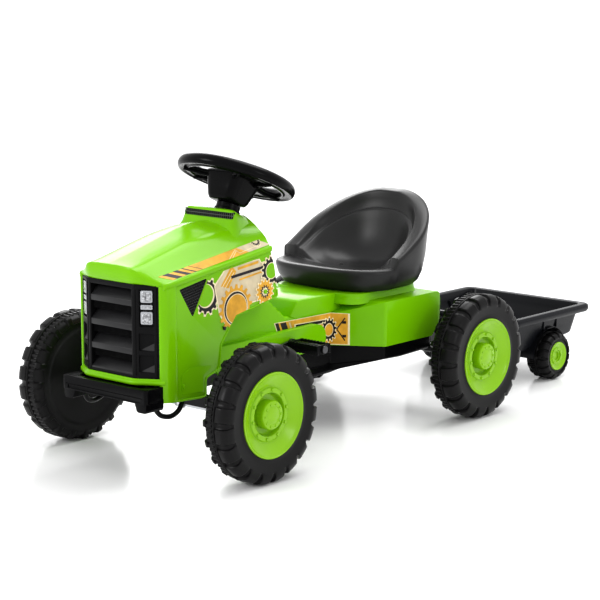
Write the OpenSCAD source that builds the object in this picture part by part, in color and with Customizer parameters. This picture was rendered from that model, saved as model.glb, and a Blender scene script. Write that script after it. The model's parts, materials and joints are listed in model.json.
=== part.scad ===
// Ride-on pedal tractor with a two-wheel trailer.
// The tractor faces -Y, +X is its left side, +Z is up, and Z = 0 is the floor.
// The origin is on the floor, below the middle of the whole vehicle.

/* [Wheels] */
// Outer radius of the four tractor tyres
wheel_r = 122.5; // [110:0.5:130]
// Width of a front tyre
front_tyre_w = 62; // [56:1:64]
// Width of a rear tyre
rear_tyre_w = 62; // [56:1:64]
// Distance of a front tyre's outer face from the centre plane
front_track = 268; // [264:1:272]
// Distance of a rear tyre's outer face from the centre plane
rear_track = 260; // [256:1:266]
// Number of tread lugs round a tractor tyre
lug_count = 20; // [16:2:24]
// Outer radius of the trailer tyres
small_r = 51; // [48:0.5:53]
// Width of a trailer tyre
small_w = 54; // [46:1:56]
// Distance of a trailer tyre's outer face from the centre plane
small_track = 172; // [170:1:176]

/* [Layout] */
// Overall length, from the bumper to the trailer's rear rim
length = 1300; // [1290:1:1320]
// Distance of the front axle behind the bumper's front face
front_overhang = 149; // [146:1:155]
// Distance between the front and rear axles
wheelbase = 636; // [630:1:645]
// Distance of the trailer axle behind the front axle
trailer_axle_run = 1018; // [1010:1:1025]
// Distance of the tow pin behind the front axle
hitch_run = 700; // [695:1:706]

/* [Steering] */
// Backward lean of the steering column, from upright
column_lean = 24; // [20:1:28]
// Length of the drop arm at the foot of the column
drop_arm = 32; // [30:1:34]
// Length of each knuckle's steering arm
knuckle_arm = 50; // [48:1:52]
// Distance of each kingpin from the centre plane
kingpin_x = 168; // [164:1:170]
// Radius of the steering wheel to the middle of its rim
wheel_rim_r = 102; // [95:1:108]

/* [Drive] */
// Pitch of the roller chain
pitch = 12.7; // [12.7:0.1:12.8]
// Teeth on the crank's chainring
ring_teeth = 16; // [16:4:20]
// Teeth on the rear axle's sprocket
sprocket_teeth = 12; // [12:4:16]
// Links in the chain
links = 86; // [84:2:88]
// Height of the crank axle
crank_z = 172; // [170:1:176]
// Length of a crank arm, from axle to pedal spindle
crank_arm = 76; // [70:1:78]

/* [Body] */
// Half width of the hood at its sides
hood_half = 110; // [106:1:114]
// Half width of the rear body at its widest
body_half = 150; // [144:1:154]
// Wall thickness of the moulded panels
wall = 3; // [2.5:0.1:4]
// Half width of the flat middle of the hood's bowed front
nose_half = 57; // [50:1:62]

/* [Hidden] */
$fn = 64;

front_y = -length / 2 + front_overhang;
rear_y = front_y + wheelbase;
trailer_y = front_y + trailer_axle_run;
hitch_y = front_y + hitch_run;
tub_rear = length / 2 - front_y;

rod_r = 6;
running = 0.08;
green = "yellowgreen";
black = [0.12, 0.12, 0.13];
steel = [0.7, 0.71, 0.73];
left = 1;
right = -1;

// Front axle beam and knuckles
beam_size = 20;
sleeve_r = 11;
sleeve_low = 108;
sleeve_high = 137;
ear_t = 6;
ear_gap = 1;
web_x = kingpin_x + 15;
web_t = 6;
link_pin_r = 4;
arm_z = sleeve_low - ear_gap - ear_t;
tie_t = 6;
tie_z = arm_z - 4 - tie_t;

// Steering column: it runs from the foot up along column_axis
foot_y = front_y + knuckle_arm - drop_arm * cos(column_lean);
foot_z = tie_z + tie_t / 2 + drop_arm * sin(column_lean);
column_r = 8;
column_run = 418;

// Main frame rails
rail_x = 49;
rail_w = 10;
rail_h = 20;
rail_z = wheel_r + beam_size / 2;

// Chain drive: pitch radii, shaft distance and the chain's plane
ring_pr = pitch / 2 / sin(180 / ring_teeth);
sprocket_pr = pitch / 2 / sin(180 / sprocket_teeth);
tooth_gap = (ring_teeth - sprocket_teeth) / 2 / PI;
free_links = (links - (ring_teeth + sprocket_teeth) / 2) / 2;
shaft_run = pitch * (free_links - pow(tooth_gap, 2) / 2 / free_links / 2);
crank_y = rear_y - sqrt(pow(shaft_run, 2) - pow(crank_z - wheel_r, 2));
chain_x = -25;
roller_r = 3.9;
drive_slope = atan2(wheel_r - crank_z, rear_y - crank_y);
wrap_lead = asin((ring_pr - sprocket_pr) / shaft_run);
strand = shaft_run * cos(wrap_lead);

// Crank and pedals
arm_x = 78;
arm_t = 6;
pedal_in = arm_x + arm_t + 2;
pedal_out = 162;
pedal_lift = asin((183 - crank_z) / crank_arm);
spindle_r = 5;

// Trailer
small_axle_r = 4.5;
tub_front = 856;
tub_half = 167;
rim_z = 149;
rim_h = 18;
tub_floor = 95;

// Turn of the grille's side facets
facet_turn = atan2(19, 31.5);

// ---------- shared shapes ----------

// Rod along X from one x to another
module rod_x(r, from_x, to_x) {
    translate([from_x, 0, 0]) rotate([0, 90, 0]) cylinder(r = r, h = to_x - from_x);
}

// A profile in (y, z) stretched across X
module side_profile(points, half) {
    translate([-half, 0, 0]) rotate([90, 0, 90]) linear_extrude(2 * half) polygon(points);
}

// Rectangle with round corners, made of exact arcs
module round_rect(w, l, r) {
    if (w > 2 * r) square([w - 2 * r, l], center = true);
    if (l > 2 * r) square([w, l - 2 * r], center = true);
    for (sx = [-1, 1], sy = [-1, 1])
        translate([sx * (w / 2 - r), sy * (l / 2 - r)]) circle(r = r);
}

// Moves children to the front axle line, where the body's outlines start
module from_front() { translate([0, front_y, 0]) children(); }

// Puts children on the left (1) or mirrored to the right (-1)
module on_side(side) { if (side > 0) children(); else mirror([1, 0, 0]) children(); }

// Along the leaning column, from its foot
module on_column(run = 0) {
    translate([0, foot_y, foot_z]) rotate([-column_lean, 0, 0]) translate([0, 0, run]) children();
}

// ---------- wheels ----------

// Tyre moulding: tread ring, closed inner side and hub tube, along +X from 0 to w
module tyre_solid(r, w, hub_r, bore_r, lugs, ring_r) {
    difference() {
        rotate([90, 0, 90]) rotate_extrude($fn = 96) polygon([
            [bore_r, 0], [r * 0.72, 0], [r * 0.9, 3], [r - 5, 6], [r, 12],
            [r, w - 12], [r - 5, w - 3], [r * 0.86, w], [ring_r, w],
            [ring_r, 8], [hub_r, 4], [hub_r, w - 16], [bore_r, w - 16]]);
        for (i = [0:lugs - 1], edge = [0, 1])
            rotate([(i + 0.5 + edge / 2) * 360 / lugs, 0, 0])
                translate([edge * (w - 9) - 1, -r * 0.06, r - 4.5])
                    cube([11, r * 0.12, 10]);
    }
}

// Dished wheel disc that fills the tyre's outer side
module rim_solid(ring_r, w, hub_r) {
    rotate([90, 0, 90]) rotate_extrude($fn = 96) polygon([
        [hub_r, w - 26], [ring_r * 0.45, w - 26], [ring_r * 0.52, w - 15],
        [ring_r * 0.75, w - 15], [ring_r * 0.82, w - 6], [ring_r, w - 2], [ring_r, w - 5],
        [ring_r * 0.84, w - 9], [ring_r * 0.77, w - 18], [ring_r * 0.54, w - 18],
        [ring_r * 0.47, w - 29], [hub_r, w - 29]]);
}

// Cap over the axle's end with a ring of small nuts
module hubcap_solid(w, r) {
    difference() {
        union() {
            rotate([90, 0, 90]) rotate_extrude() polygon([
                [0, w - 4], [r - 4, w - 4], [r, w - 8], [r, w - 26], [0, w - 26]]);
            for (i = [0:9])
                rotate([i * 36, 0, 0]) translate([w - 5, r * 0.68, 0]) rod_x(2.6, 0, 2.5);
        }
        rod_x(r - 3, w - 27, w - 7);
    }
}

wheel_hub_r = 15;
ring_r = 84;

module front_wheel_place(side) {
    on_side(side) translate([front_track - front_tyre_w, front_y, wheel_r]) children();
}

module rear_wheel_place(side) {
    on_side(side) translate([rear_track - rear_tyre_w, rear_y, wheel_r]) children();
}

module front_tyre(side) {
    color(black) front_wheel_place(side)
        tyre_solid(wheel_r, front_tyre_w, wheel_hub_r, rod_r + running, lug_count, ring_r);
}

module rear_tyre(side, bore_r) {
    color(black) rear_wheel_place(side)
        tyre_solid(wheel_r, rear_tyre_w, wheel_hub_r, bore_r, lug_count, ring_r);
}

module front_tyre_left() { front_tyre(left); }
module front_tyre_right() { front_tyre(right); }
module rear_tyre_left() { rear_tyre(left, rod_r + running); }
module rear_tyre_right() { rear_tyre(right, rod_r); }
module front_rim_left() {
    color(green) front_wheel_place(left) rim_solid(ring_r, front_tyre_w, wheel_hub_r);
}
module front_rim_right() {
    color(green) front_wheel_place(right) rim_solid(ring_r, front_tyre_w, wheel_hub_r);
}
module rear_rim_left() {
    color(green) rear_wheel_place(left) rim_solid(ring_r, rear_tyre_w, wheel_hub_r);
}
module rear_rim_right() {
    color(green) rear_wheel_place(right) rim_solid(ring_r, rear_tyre_w, wheel_hub_r);
}
module front_hubcap_left() { color(green) front_wheel_place(left) hubcap_solid(front_tyre_w, 26); }
module front_hubcap_right() { color(green) front_wheel_place(right) hubcap_solid(front_tyre_w, 26); }
module rear_hubcap_left() { color(green) rear_wheel_place(left) hubcap_solid(rear_tyre_w, 26); }
module rear_hubcap_right() { color(green) rear_wheel_place(right) hubcap_solid(rear_tyre_w, 26); }

// ---------- front axle and steering ----------

module front_axle_beam() {
    reach = kingpin_x - sleeve_r + 3;
    color(black) difference() {
        union() {
            translate([-reach, front_y - beam_size / 2, wheel_r - beam_size / 2])
                cube([2 * reach, beam_size, beam_size]);
            for (s = [-1, 1])
                translate([s * kingpin_x, front_y, sleeve_low])
                    cylinder(r = sleeve_r, h = sleeve_high - sleeve_low);
        }
        for (s = [-1, 1])
            translate([s * kingpin_x, front_y, sleeve_low - 1])
                cylinder(r = rod_r + running, h = sleeve_high - sleeve_low + 2);
    }
}

// Yoke round the sleeve, stub axle with its nut, and the steering arm
module knuckle() {
    difference() {
        translate([kingpin_x, front_y, 0]) {
            for (z = [arm_z, sleeve_high + ear_gap])
                translate([0, 0, z]) {
                    cylinder(r = 12, h = ear_t);
                    translate([0, -12, 0]) cube([web_x - kingpin_x + web_t, 24, ear_t]);
                }
            translate([web_x - kingpin_x, -12, arm_z])
                cube([web_t, 24, sleeve_high + ear_gap + ear_t - arm_z]);
            translate([-8, 0, arm_z]) cube([16, knuckle_arm, ear_t]);
            translate([0, knuckle_arm, arm_z]) cylinder(r = 8, h = ear_t);
            translate([0, knuckle_arm, tie_z - 4]) cylinder(r = link_pin_r, h = arm_z - tie_z + 5);
            translate([0, knuckle_arm, tie_z - 4]) cylinder(r = 7.5, h = 2.5);
            translate([0, 0, wheel_r]) {
                rod_x(rod_r, web_x - kingpin_x + 1, front_track - kingpin_x - 10);
                rod_x(12, web_x - kingpin_x + web_t - 1, front_track - front_tyre_w - kingpin_x - 0.5);
                rod_x(10, front_track - kingpin_x - 15.5, front_track - kingpin_x - 10.5, $fn = 6);
            }
        }
        translate([kingpin_x, front_y, arm_z - 1]) cylinder(r = rod_r, h = 60);
    }
}

module knuckle_left() { color(steel) on_side(left) knuckle(); }
module knuckle_right() { color(steel) on_side(right) knuckle(); }

// Kingpin with a head above the yoke and a crimped end below it
module kingpin() {
    translate([kingpin_x, front_y, 0]) {
        translate([0, 0, arm_z - 3]) cylinder(r = rod_r, h = 51);
        translate([0, 0, sleeve_high + ear_gap + ear_t]) cylinder(r = 9, h = 4);
    }
}

module kingpin_left() { color(steel) on_side(left) kingpin(); }
module kingpin_right() { color(steel) on_side(right) kingpin(); }

// Slot through the tie rod, long enough for a pin that swings on an arm
module pin_slot(reach) {
    width = 2 * (link_pin_r + 1.1);
    translate([0, 0, -1]) linear_extrude(tie_t + 2) round_rect(width, width + 2 * reach, width / 2);
}

module tie_rod() {
    color(steel) translate([0, front_y + knuckle_arm, tie_z]) difference() {
        union() {
            linear_extrude(tie_t) round_rect(2 * kingpin_x + 26, 18, 9);
            for (x = [-kingpin_x, 0, kingpin_x])
                translate([x, 0, 0]) linear_extrude(tie_t) round_rect(24, 34, 10);
        }
        for (s = [-1, 1]) translate([s * kingpin_x, 0, 0]) pin_slot(3);
        pin_slot(5.6);
    }
}

// Column tube with the drop arm and its pin at the foot
module steering_column() {
    color(steel) on_column() {
        translate([0, 0, 4]) cylinder(r = column_r, h = column_run - 10.5);
        translate([-7, 0, 9]) cube([14, drop_arm, 7]);
        translate([0, drop_arm, 9]) cylinder(r = 7, h = 7);
        translate([0, drop_arm, -9]) cylinder(r = link_pin_r, h = 19);
        translate([0, 0, 60]) cylinder(r = 12, h = 3);
    }
}

// Frame bracket that holds the column's lower end
module column_bracket() {
    color(black) difference() {
        union() {
            on_column(30) cylinder(r = 15, h = 16);
            from_front() translate([-rail_x - rail_w / 2, 12, rail_z + rail_h])
                cube([2 * rail_x + rail_w, 40, 4]);
            intersection() {
                on_column(20) translate([-8, -24, 0]) cube([16, 48, 26]);
                from_front() translate([-10, 8, rail_z + rail_h - 30]) cube([20, 48, 34]);
            }
        }
        on_column(-20) cylinder(r = column_r + running, h = 120);
        on_column(58) cylinder(r = 20, h = 40);
    }
}

// Bush and collar where the column leaves the hood
module column_collar() {
    color(black) difference() {
        on_column(column_run - 92) cylinder(r = 23, h = 45);
        on_column(column_run - 100) cylinder(r = column_r + running, h = 80);
    }
}

// Rim, three spokes and a dished hub
module steering_wheel() {
    color(black) on_column(column_run) difference() {
        union() {
            rotate_extrude($fn = 96) translate([wheel_rim_r, 6]) circle(r = 12);
            translate([0, 0, -44]) cylinder(r = 17, h = 20);
            translate([0, 0, -26]) cylinder(r1 = 20, r2 = 38, h = 22);
            for (a = [90, 210, 330])
                rotate([0, 0, a]) translate([28, -15, -10]) cube([wheel_rim_r - 32, 30, 12]);
        }
        translate([0, 0, -45]) cylinder(r = column_r, h = 45);
        translate([0, 0, -6]) cylinder(r = 26, h = 4);
    }
}

module wheel_cap() {
    color(black) on_column(column_run) translate([0, 0, -6]) {
        cylinder(r = 26, h = 6);
        translate([0, 0, 6]) cylinder(r1 = 26, r2 = 20, h = 4);
    }
}

// ---------- frame and chassis ----------

module main_frame() {
    rail_end = hitch_run - 30;
    color(black) difference() {
        from_front() union() {
            for (s = [-1, 1]) {
                translate([s * rail_x - rail_w / 2, -8, rail_z]) cube([rail_w, rail_end + 8, rail_h]);
                translate([s * rail_x - rail_w / 2, crank_y - front_y - 16, rail_z + 10])
                    cube([rail_w, 32, crank_z + 16 - rail_z - 10]);
                translate([s * rail_x - rail_w / 2, wheelbase - 16, wheel_r - 16])
                    cube([rail_w, 32, rail_z - wheel_r + 20]);
            }
            for (y = [-8, 270, 490])
                translate([-rail_x, y, rail_z + 12]) cube([2 * rail_x, 14, 8]);
        }
        translate([0, crank_y, crank_z]) rod_x(10, -80, 80);
        translate([0, rear_y, wheel_r]) rod_x(10, -80, 80);
    }
}

// Bush pair in one pair of frame plates
module bush_pair() {
    for (s = [-1, 1])
        difference() {
            union() {
                rod_x(10, s * rail_x - rail_w / 2, s * rail_x + rail_w / 2);
                translate([s * (rail_x + rail_w / 2 + 1), 0, 0]) rod_x(13, -1, 1);
            }
            rod_x(rod_r + running, -80, 80);
        }
}

module crank_bushes() { color("white") translate([0, crank_y, crank_z]) bush_pair(); }
module axle_bushes() { color("white") translate([0, rear_y, wheel_r]) bush_pair(); }

// Plan of the rear body: a waist that opens to its full width and closes at the rear corners
function body_plan(inset) = [
    for (s = [1, -1]) each [for (p = s > 0 ? plan_side : [for (i = [len(plan_side) - 1:-1:0]) plan_side[i]])
        [s * (p[0] - inset), p[1]]]];
plan_side = [[60, 120], [60, 392], [body_half, 449], [body_half, 618], [136, 641]];

// Under-tray that carries the rails and closes the body from below
module chassis_tray() {
    profile = [[192, 127], [192, 155], [596, 155], [590, 128]];
    hollow = [[188, 130], [188, 160], [600, 160], [586, 131]];
    color(black) from_front() difference() {
        intersection() {
            side_profile(profile, 160);
            translate([0, 0, 100]) linear_extrude(80) polygon(body_plan(2));
        }
        intersection() {
            side_profile(hollow, 160);
            translate([0, 0, 100]) linear_extrude(80) polygon(body_plan(5));
        }
        // chain slot and the rails' way out
        translate([-43, 186, 120]) cube([36, 440, 20]);
        translate([-43, 570, 120]) cube([36, 60, 40]);
        for (s = [-1, 1])
            translate([s * rail_x - rail_w / 2 - 1, 560, rail_z - 1]) cube([rail_w + 2, 60, rail_h + 20]);
    }
}

// Outer form of the green body: foot tunnel, side bulges, rear deck and seat pedestal
module body_form(inset) {
    tunnel = [[34 + inset, 156], [34 + inset, 240], [60, 276], [205, 276 - inset],
        [262, 230 - inset], [400, 214 - inset], [460, 240 - inset], [460, 156]];
    deck = [[380, 156], [380, 216 - inset], [449, 243 - inset], [622 - inset, 243 - inset],
        [641 - inset, 217], [612 - inset, 176], [597 - inset, 156]];
    side_profile(tunnel, 60 - inset);
    intersection() {
        side_profile(deck, 160);
        linear_extrude(300) polygon(body_plan(inset));
    }
    // crank housing bulge on both sides of the tunnel
    translate([inset - 75, 60 + inset, 156]) cube([150 - 2 * inset, 265 - inset, 48 - inset]);
    translate([0, 325, 172]) rod_x(32 - inset, inset - 75, 75 - inset);
    // seat pedestal
    translate([0, 505, 200]) linear_extrude(58 - inset) round_rect(216 - 2 * inset, 215 - 2 * inset, 50);
    translate([0, 400, 200]) linear_extrude(58 - inset) round_rect(130 - 2 * inset, 228 - 2 * inset, 20);
}

module body_shell() {
    color(green) difference() {
        from_front() difference() {
            intersection() {
                body_form(0);
                translate([-200, 0, 156]) cube([400, 700, 200]);
            }
            intersection() {
                body_form(wall);
                translate([-200, 0, 150]) cube([400, 700, 200]);
            }
            // open front and top below the hood, for the column
            translate([-60 + wall, 20, 150]) cube([120 - 2 * wall, 40, 150]);
            translate([-60 + wall, 20, 220]) cube([120 - 2 * wall, 165, 100]);
            // way out for the rails at the rear
            for (s = [-1, 1])
                translate([s * rail_x - rail_w / 2 - 1, 560, 100]) cube([rail_w + 2, 80, 56]);
            translate([-43, 560, 150]) cube([36, 60, 16]);
            // seat bolt holes
            for (sx = [-1, 1], sy = [450, 560])
                translate([sx * 60, sy, 240]) cylinder(r = 3, h = 40);
        }
        translate([0, crank_y, crank_z]) rod_x(14, -90, 90);
    }
}

// Outer corners of the hood: bowed front, brow, ridge, roof crease, ledge, side and rear
function hood_points(inset) =
    let (h = hood_half - inset, f = -104 + inset, b = 214 - inset, t = -inset)
    [for (s = [-1, 1]) each [
        [s * (h - 10), f, 120], [s * (h - 10), f, 334], [s * h, f + 16, 120], [s * h, f + 16, 338 + t],
        [s * (nose_half + t), f - 26, 120], [s * (nose_half + t), f - 26, 371 + t],
        [0, f - 29, 373 + t], [s * (72 + t), f - 15, 352 + t],
        [s * (60 + t), f + 15, 376 + t], [s * (60 + t), 2, 399 + t], [0, 60, 424 + t], [0, b, 424 + t],
        [s * (h - 22), f + 10, 356 + t], [s * (h - 22), 172 + t, 396 + t],
        [s * (h - 3), f + 19, 346 + t], [s * (h - 3), 166 + t, 381 + t],
        [s * h, 170 + t, 371 + t], [s * h, 184 + t, 300], [s * h, 184 + t, 120],
        [s * (50 + t), b, 418 + t], [s * (50 + t), b, 120]]];

// Raised scoop in front of the column, which carries the top vent
function scoop_points(inset) =
    [for (s = [-1, 1]) each [
        [s * (64 - inset), 116 + inset, 405], [s * (64 - inset), 117 + inset, 443 - inset],
        [s * (56 - inset), 120 + inset, 446 - inset], [s * (48 - inset), 204 - inset, 422 - inset],
        [s * (48 - inset), 206 - inset, 405]]];

module hood_form(inset) {
    hull() for (p = hood_points(inset)) translate(p) cube(0.01, center = true);
    hull() for (p = scoop_points(inset)) translate(p) cube(0.01, center = true);
}

// Wheel arch and leg room below the hood's cowl
module leg_cut(grow) {
    side_profile([
        [-3 - grow, 100], [-3 - grow, 150 + grow], [31 - grow, 175 + grow], [36 - grow, 219 + grow / 2],
        [73 - grow / 2, 266 + grow], [188, 287 + grow], [300, 300 + grow], [300, 100]], 200);
}

module hood_shell() {
    color(green) from_front() difference() {
        hood_form(0);
        leg_cut(0);
        // underside slopes a little towards the front
        side_profile([[-200, 100], [-200, 166], [-107.5, 166], [-107.5, 134], [40, 129], [40, 100]], 200);
        difference() {
            hood_form(wall);
            leg_cut(wall);
        }
        // room for the tunnel, the column, the axle beam and the grille's opening
        translate([-60.5, 20, 100]) cube([121, 190, 210]);
        translate([-60.5, -11, 100]) cube([121, 40, 60]);
        translate([0, -front_y, 0]) on_column(column_run - 140) cylinder(r = 23.2, h = 100);
        translate([-120, -11, 100]) cube([240, 22, 35]);
        translate([-88, -140, 178]) cube([176, 50, 148]);
        // opening for the top vent
        translate([-56, 105, 430]) cube([112, 22, 11.5]);
    }
}

// Plan of the grille, bowed like the hood's front, from its back at y = back
function grille_plan(grow, back) = [
    [-87.5 + grow, back], [-87.5 + grow, -108 + grow], [-nose_half + 1, -127 + grow],
    [nose_half - 1, -127 + grow], [87.5 - grow, -108 + grow], [87.5 - grow, back]];

// Louvred grille: a bowed frame with slanted bars and a pocket for each lamp stack
module front_grille() {
    color(black) from_front() {
        difference() {
            translate([0, 0, 178.5]) linear_extrude(147) polygon(grille_plan(0, -92));
            translate([0, 0, 184]) linear_extrude(136) polygon(grille_plan(4, -80));
            translate([-nose_half + 4, -140, 192]) cube([2 * nose_half - 8, 40, 124]);
            for (s = [-1, 1]) on_facet(s) translate([-12, -5, 274]) cube([24, 20, 44]);
        }
        for (i = [0:3])
            translate([-nose_half, -120, 200 + i * 29]) rotate([-28, 0, 0]) cube([2 * nose_half, 4, 18]);
        translate([-nose_half, -110, 184]) cube([2 * nose_half, 2, 136]);
    }
}

// Middle of a slanted side facet of the grille, with -Y pointing straight out of it
module on_facet(side) {
    on_side(side) translate([74, -116.2, 0]) rotate([0, 0, facet_turn]) children();
}

// Lamp stack: two square lamps with a thin bar lamp between them
module headlamp() {
    from_front() on_facet(left) {
        for (z = [275, 298]) translate([-10, -1, z]) cube([20, 9, 18]);
        translate([-10, -1, 294]) cube([20, 9, 3]);
        translate([-9, 6, 276]) cube([18, 2, 39]);
    }
}

module headlamp_left() { color("white") on_side(left) headlamp(); }
module headlamp_right() { color("white") on_side(right) headlamp(); }

// Mesh vent in the front face of the hood's scoop
module top_vent() {
    color(black) from_front() difference() {
        translate([-55.7, 118, 430.2]) cube([111.4, 4, 11]);
        for (i = [0:12])
            translate([-52 + i * 8, 110, 432]) cube([5, 20, 3.4]);
        for (i = [0:12])
            translate([-50 + i * 8, 110, 436.4]) cube([5, 20, 3.4]);
    }
}

// Triangular mesh vent on the hood's side
module side_vent() {
    from_front() translate([hood_half, 0, 0]) difference() {
        translate([0.1, 0, 0]) rotate([90, 0, 90]) linear_extrude(2.5)
            polygon([[-72, 332], [0, 344], [-34, 278]]);
        for (i = [0:5])
            translate([1.2, -60 + i * 9, 300]) rotate([18, 0, 0]) cube([4, 4, 60]);
    }
}

module side_vent_left() { color(black) on_side(left) side_vent(); }
module side_vent_right() { color(black) on_side(right) side_vent(); }

// Channel-shaped bumper with end blocks that hang lower
module front_bumper() {
    color(black) from_front() difference() {
        union() {
            translate([0, 0, 140]) linear_extrude(25.5)
                polygon([[-103, -149], [103, -149], [100, -108.5], [-100, -108.5]]);
            for (s = [-1, 1])
                translate([s * 94 - 9, -147, 126]) cube([18, 38, 20]);
        }
        translate([-80, -150, 147]) cube([160, 12, 11]);
        translate([-80, -130, 138]) cube([160, 18, 20]);
    }
}

// Bent flat bars that hold the bumper on the axle beam
module bumper_stays() {
    color(black) from_front() for (s = [-1, 1])
        translate([s * 60 - 8, 0, 0]) {
            translate([0, -108, 112.5]) cube([16, 98, 4]);
            translate([0, -112, 112.5]) cube([16, 4, 27.5]);
        }
}

// ---------- seat ----------

seat_y = 535;
seat_bottom = 258.5;

module seat() {
    rim_cut = [[380, 301], [440, 305], [500, 350], [560, 400],
        [620, 430], [700, 434], [700, 500], [380, 500]];
    color(black) from_front() difference() {
        translate([0, seat_y, seat_bottom]) linear_extrude(180) round_rect(300, 272, 120);
        translate([0, seat_y, seat_bottom + 28]) linear_extrude(180) round_rect(268, 240, 106);
        translate([0, seat_y - 60, seat_bottom + 34]) linear_extrude(180) round_rect(268, 200, 80);
        side_profile(rim_cut, 200);
        // hollow underside
        translate([0, seat_y, seat_bottom - 1]) linear_extrude(20) round_rect(276, 248, 108);
    }
    color(black) from_front() for (sx = [-1, 1], sy = [450, 560])
        translate([sx * 60, sy, seat_bottom]) difference() {
            cylinder(r = 9, h = 20);
            translate([0, 0, -1]) cylinder(r = 2.6, h = 14);
        }
}

module seat_bolts() {
    color(steel) from_front() for (sx = [-1, 1], sy = [450, 560])
        translate([sx * 60, sy, 0]) {
            translate([0, 0, 255 - 5]) cylinder(r = 5, h = 5);
            translate([0, 0, 254]) cylinder(r = 2.5, h = 16);
        }
}

// Screws that hold the hood and the tray on the body
module body_screws() {
    color(steel) from_front() {
        for (s = [-1, 1], y = [-60, 150])
            translate([s * (hood_half + 0.1), y, y < 0 ? 160 : 300])
                rod_x(4, s > 0 ? 0 : -2, s > 0 ? 2 : 0);
        for (s = [-1, 1], y = [470, 560])
            translate([s * 110, y, 124]) cylinder(r = 4, h = 3);
    }
}

// ---------- drive ----------

// Disc with round gaps for the rollers; the first gap is at angle start
module sprocket(teeth, pitch_r, start, hub_r, hub_w) {
    // The chain stands still while this turns, so the tooth tips pass just under its rollers
    tip_r = pitch_r - roller_r - 0.15;
    gap_r = 2.4;
    difference() {
        union() {
            rod_x(tip_r, -1.7, 1.7);
            rod_x(hub_r, -1.7, hub_w);
        }
        for (i = [0:teeth - 1])
            rotate([start + i * 360 / teeth, 0, 0]) translate([0, tip_r - 0.6, 0]) {
                rod_x(gap_r, -3, 3);
                side_profile([[0, -gap_r], [3, -gap_r - 1.2], [3, gap_r + 1.2], [0, gap_r]], 3);
            }
        rod_x(rod_r, -20, 20);
    }
}

// The upper strand touches both circles at this direction from each centre
lead = 90 + drive_slope - wrap_lead;
rear_lag = (strand / pitch - floor(strand / pitch));

module chainring() {
    color(steel) translate([chain_x, crank_y, crank_z])
        sprocket(ring_teeth, ring_pr, lead, 12, 10);
}

module rear_sprocket() {
    color(steel) translate([chain_x, rear_y, wheel_r])
        sprocket(sprocket_teeth, sprocket_pr, lead - (1 - rear_lag) * 360 / sprocket_teeth, 11, 10);
}

// Direction (y, z) at an angle in the chain's plane
function ray(a) = [cos(a), sin(a)];

// Place of a roller that is s pitches along the chain, from the ring's upper tangent point
wrap_rear = 180 - 2 * wrap_lead;
rear_links = wrap_rear / 360 * sprocket_teeth;
ring_centre = [crank_y, crank_z];
rear_centre = [rear_y, wheel_r];
function chain_point(s) =
    let (run = strand / pitch)
    s < run ? ring_centre + ring_pr * ray(lead) + s * pitch * ray(lead - 90)
    : s < run + rear_links
        ? rear_centre + sprocket_pr * ray(lead - (s - run) * 360 / sprocket_teeth)
    : s < 2 * run + rear_links
        ? rear_centre + sprocket_pr * ray(lead - wrap_rear)
            + (s - run - rear_links) * pitch * ray(lead - wrap_rear - 90)
    : ring_centre + ring_pr * ray(lead - wrap_rear - (s - 2 * run - rear_links) * 360 / ring_teeth);

// Outline of a link plate that is run long between its pins
module plate_outline(run) {
    h = 4.6;
    polygon([[-3, -h], [run + 3, -h], [run + h + 0.6, -2], [run + h + 0.6, 2],
        [run + 3, h], [-3, h], [-h - 0.6, 2], [-h - 0.6, -2]]);
}

// Link from pin p to pin q: an inner link carries the rollers, an outer link the pins
module chain_link(p, q, inner) {
    run = norm(q - p);
    face = inner ? 3.1 : 4.1;
    translate([0, p[0], p[1]]) rotate([atan2(q[1] - p[1], q[0] - p[0]), 0, 0]) difference() {
        union() {
            for (x = [-face, face - 0.9])
                translate([x, 0, 0]) rotate([90, 0, 90]) linear_extrude(0.9) plate_outline(run);
            for (y = [0, run])
                translate([0, y, 0]) rod_x(inner ? roller_r : 1.9, -face + 0.5, face - 0.5, $fn = 24);
        }
        if (inner)
            for (y = [0, run]) translate([0, y, 0]) rod_x(2.3, -9, 9, $fn = 24);
    }
}

module drive_chain() {
    color(steel) translate([chain_x, 0, 0])
        for (i = [0:links - 1])
            chain_link(chain_point(i), chain_point((i + 1) % links), i % 2 == 0);
}

// Trough below the tray that covers the chain's lower strand
module chain_guard() {
    outer = [[212, 126.5], [590, 126.5], [596, 150], [666, 150], [674, 110], [653, 85], [600, 87]];
    inner = [[222, 127.5], [589, 130], [594, 153], [663, 153], [671, 111], [651, 88], [601, 90]];
    color(black) difference() {
        from_front() translate([chain_x, 0, 0]) difference() {
            side_profile(outer, 17);
            side_profile(inner, 14.5);
            translate([-20, 596, 148]) cube([40, 80, 10]);
        }
        translate([0, rear_y, wheel_r]) rod_x(13, -60, 10);
    }
}

// Axle, the two arms and the two pedal spindles
module crankset() {
    color(steel) translate([0, crank_y, crank_z]) {
        rod_x(rod_r, -arm_x - arm_t, arm_x + arm_t);
        for (s = [1, -1])
            rotate([s > 0 ? pedal_lift : pedal_lift + 180, 0, 0]) {
                translate([s > 0 ? arm_x : -arm_x - arm_t, 0, 0]) {
                    rod_x(11, 0, arm_t);
                    translate([0, 0, -8]) cube([arm_t, crank_arm, 16]);
                    translate([0, crank_arm, 0]) rod_x(10, 0, arm_t);
                }
                translate([0, crank_arm, 0]) {
                    rod_x(spindle_r, s > 0 ? arm_x : -pedal_out, s > 0 ? pedal_out : -arm_x);
                    translate([s * pedal_out, 0, 0]) rod_x(7, s > 0 ? -2 : -0.5, s > 0 ? 0.5 : 2);
                }
            }
    }
}

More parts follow.
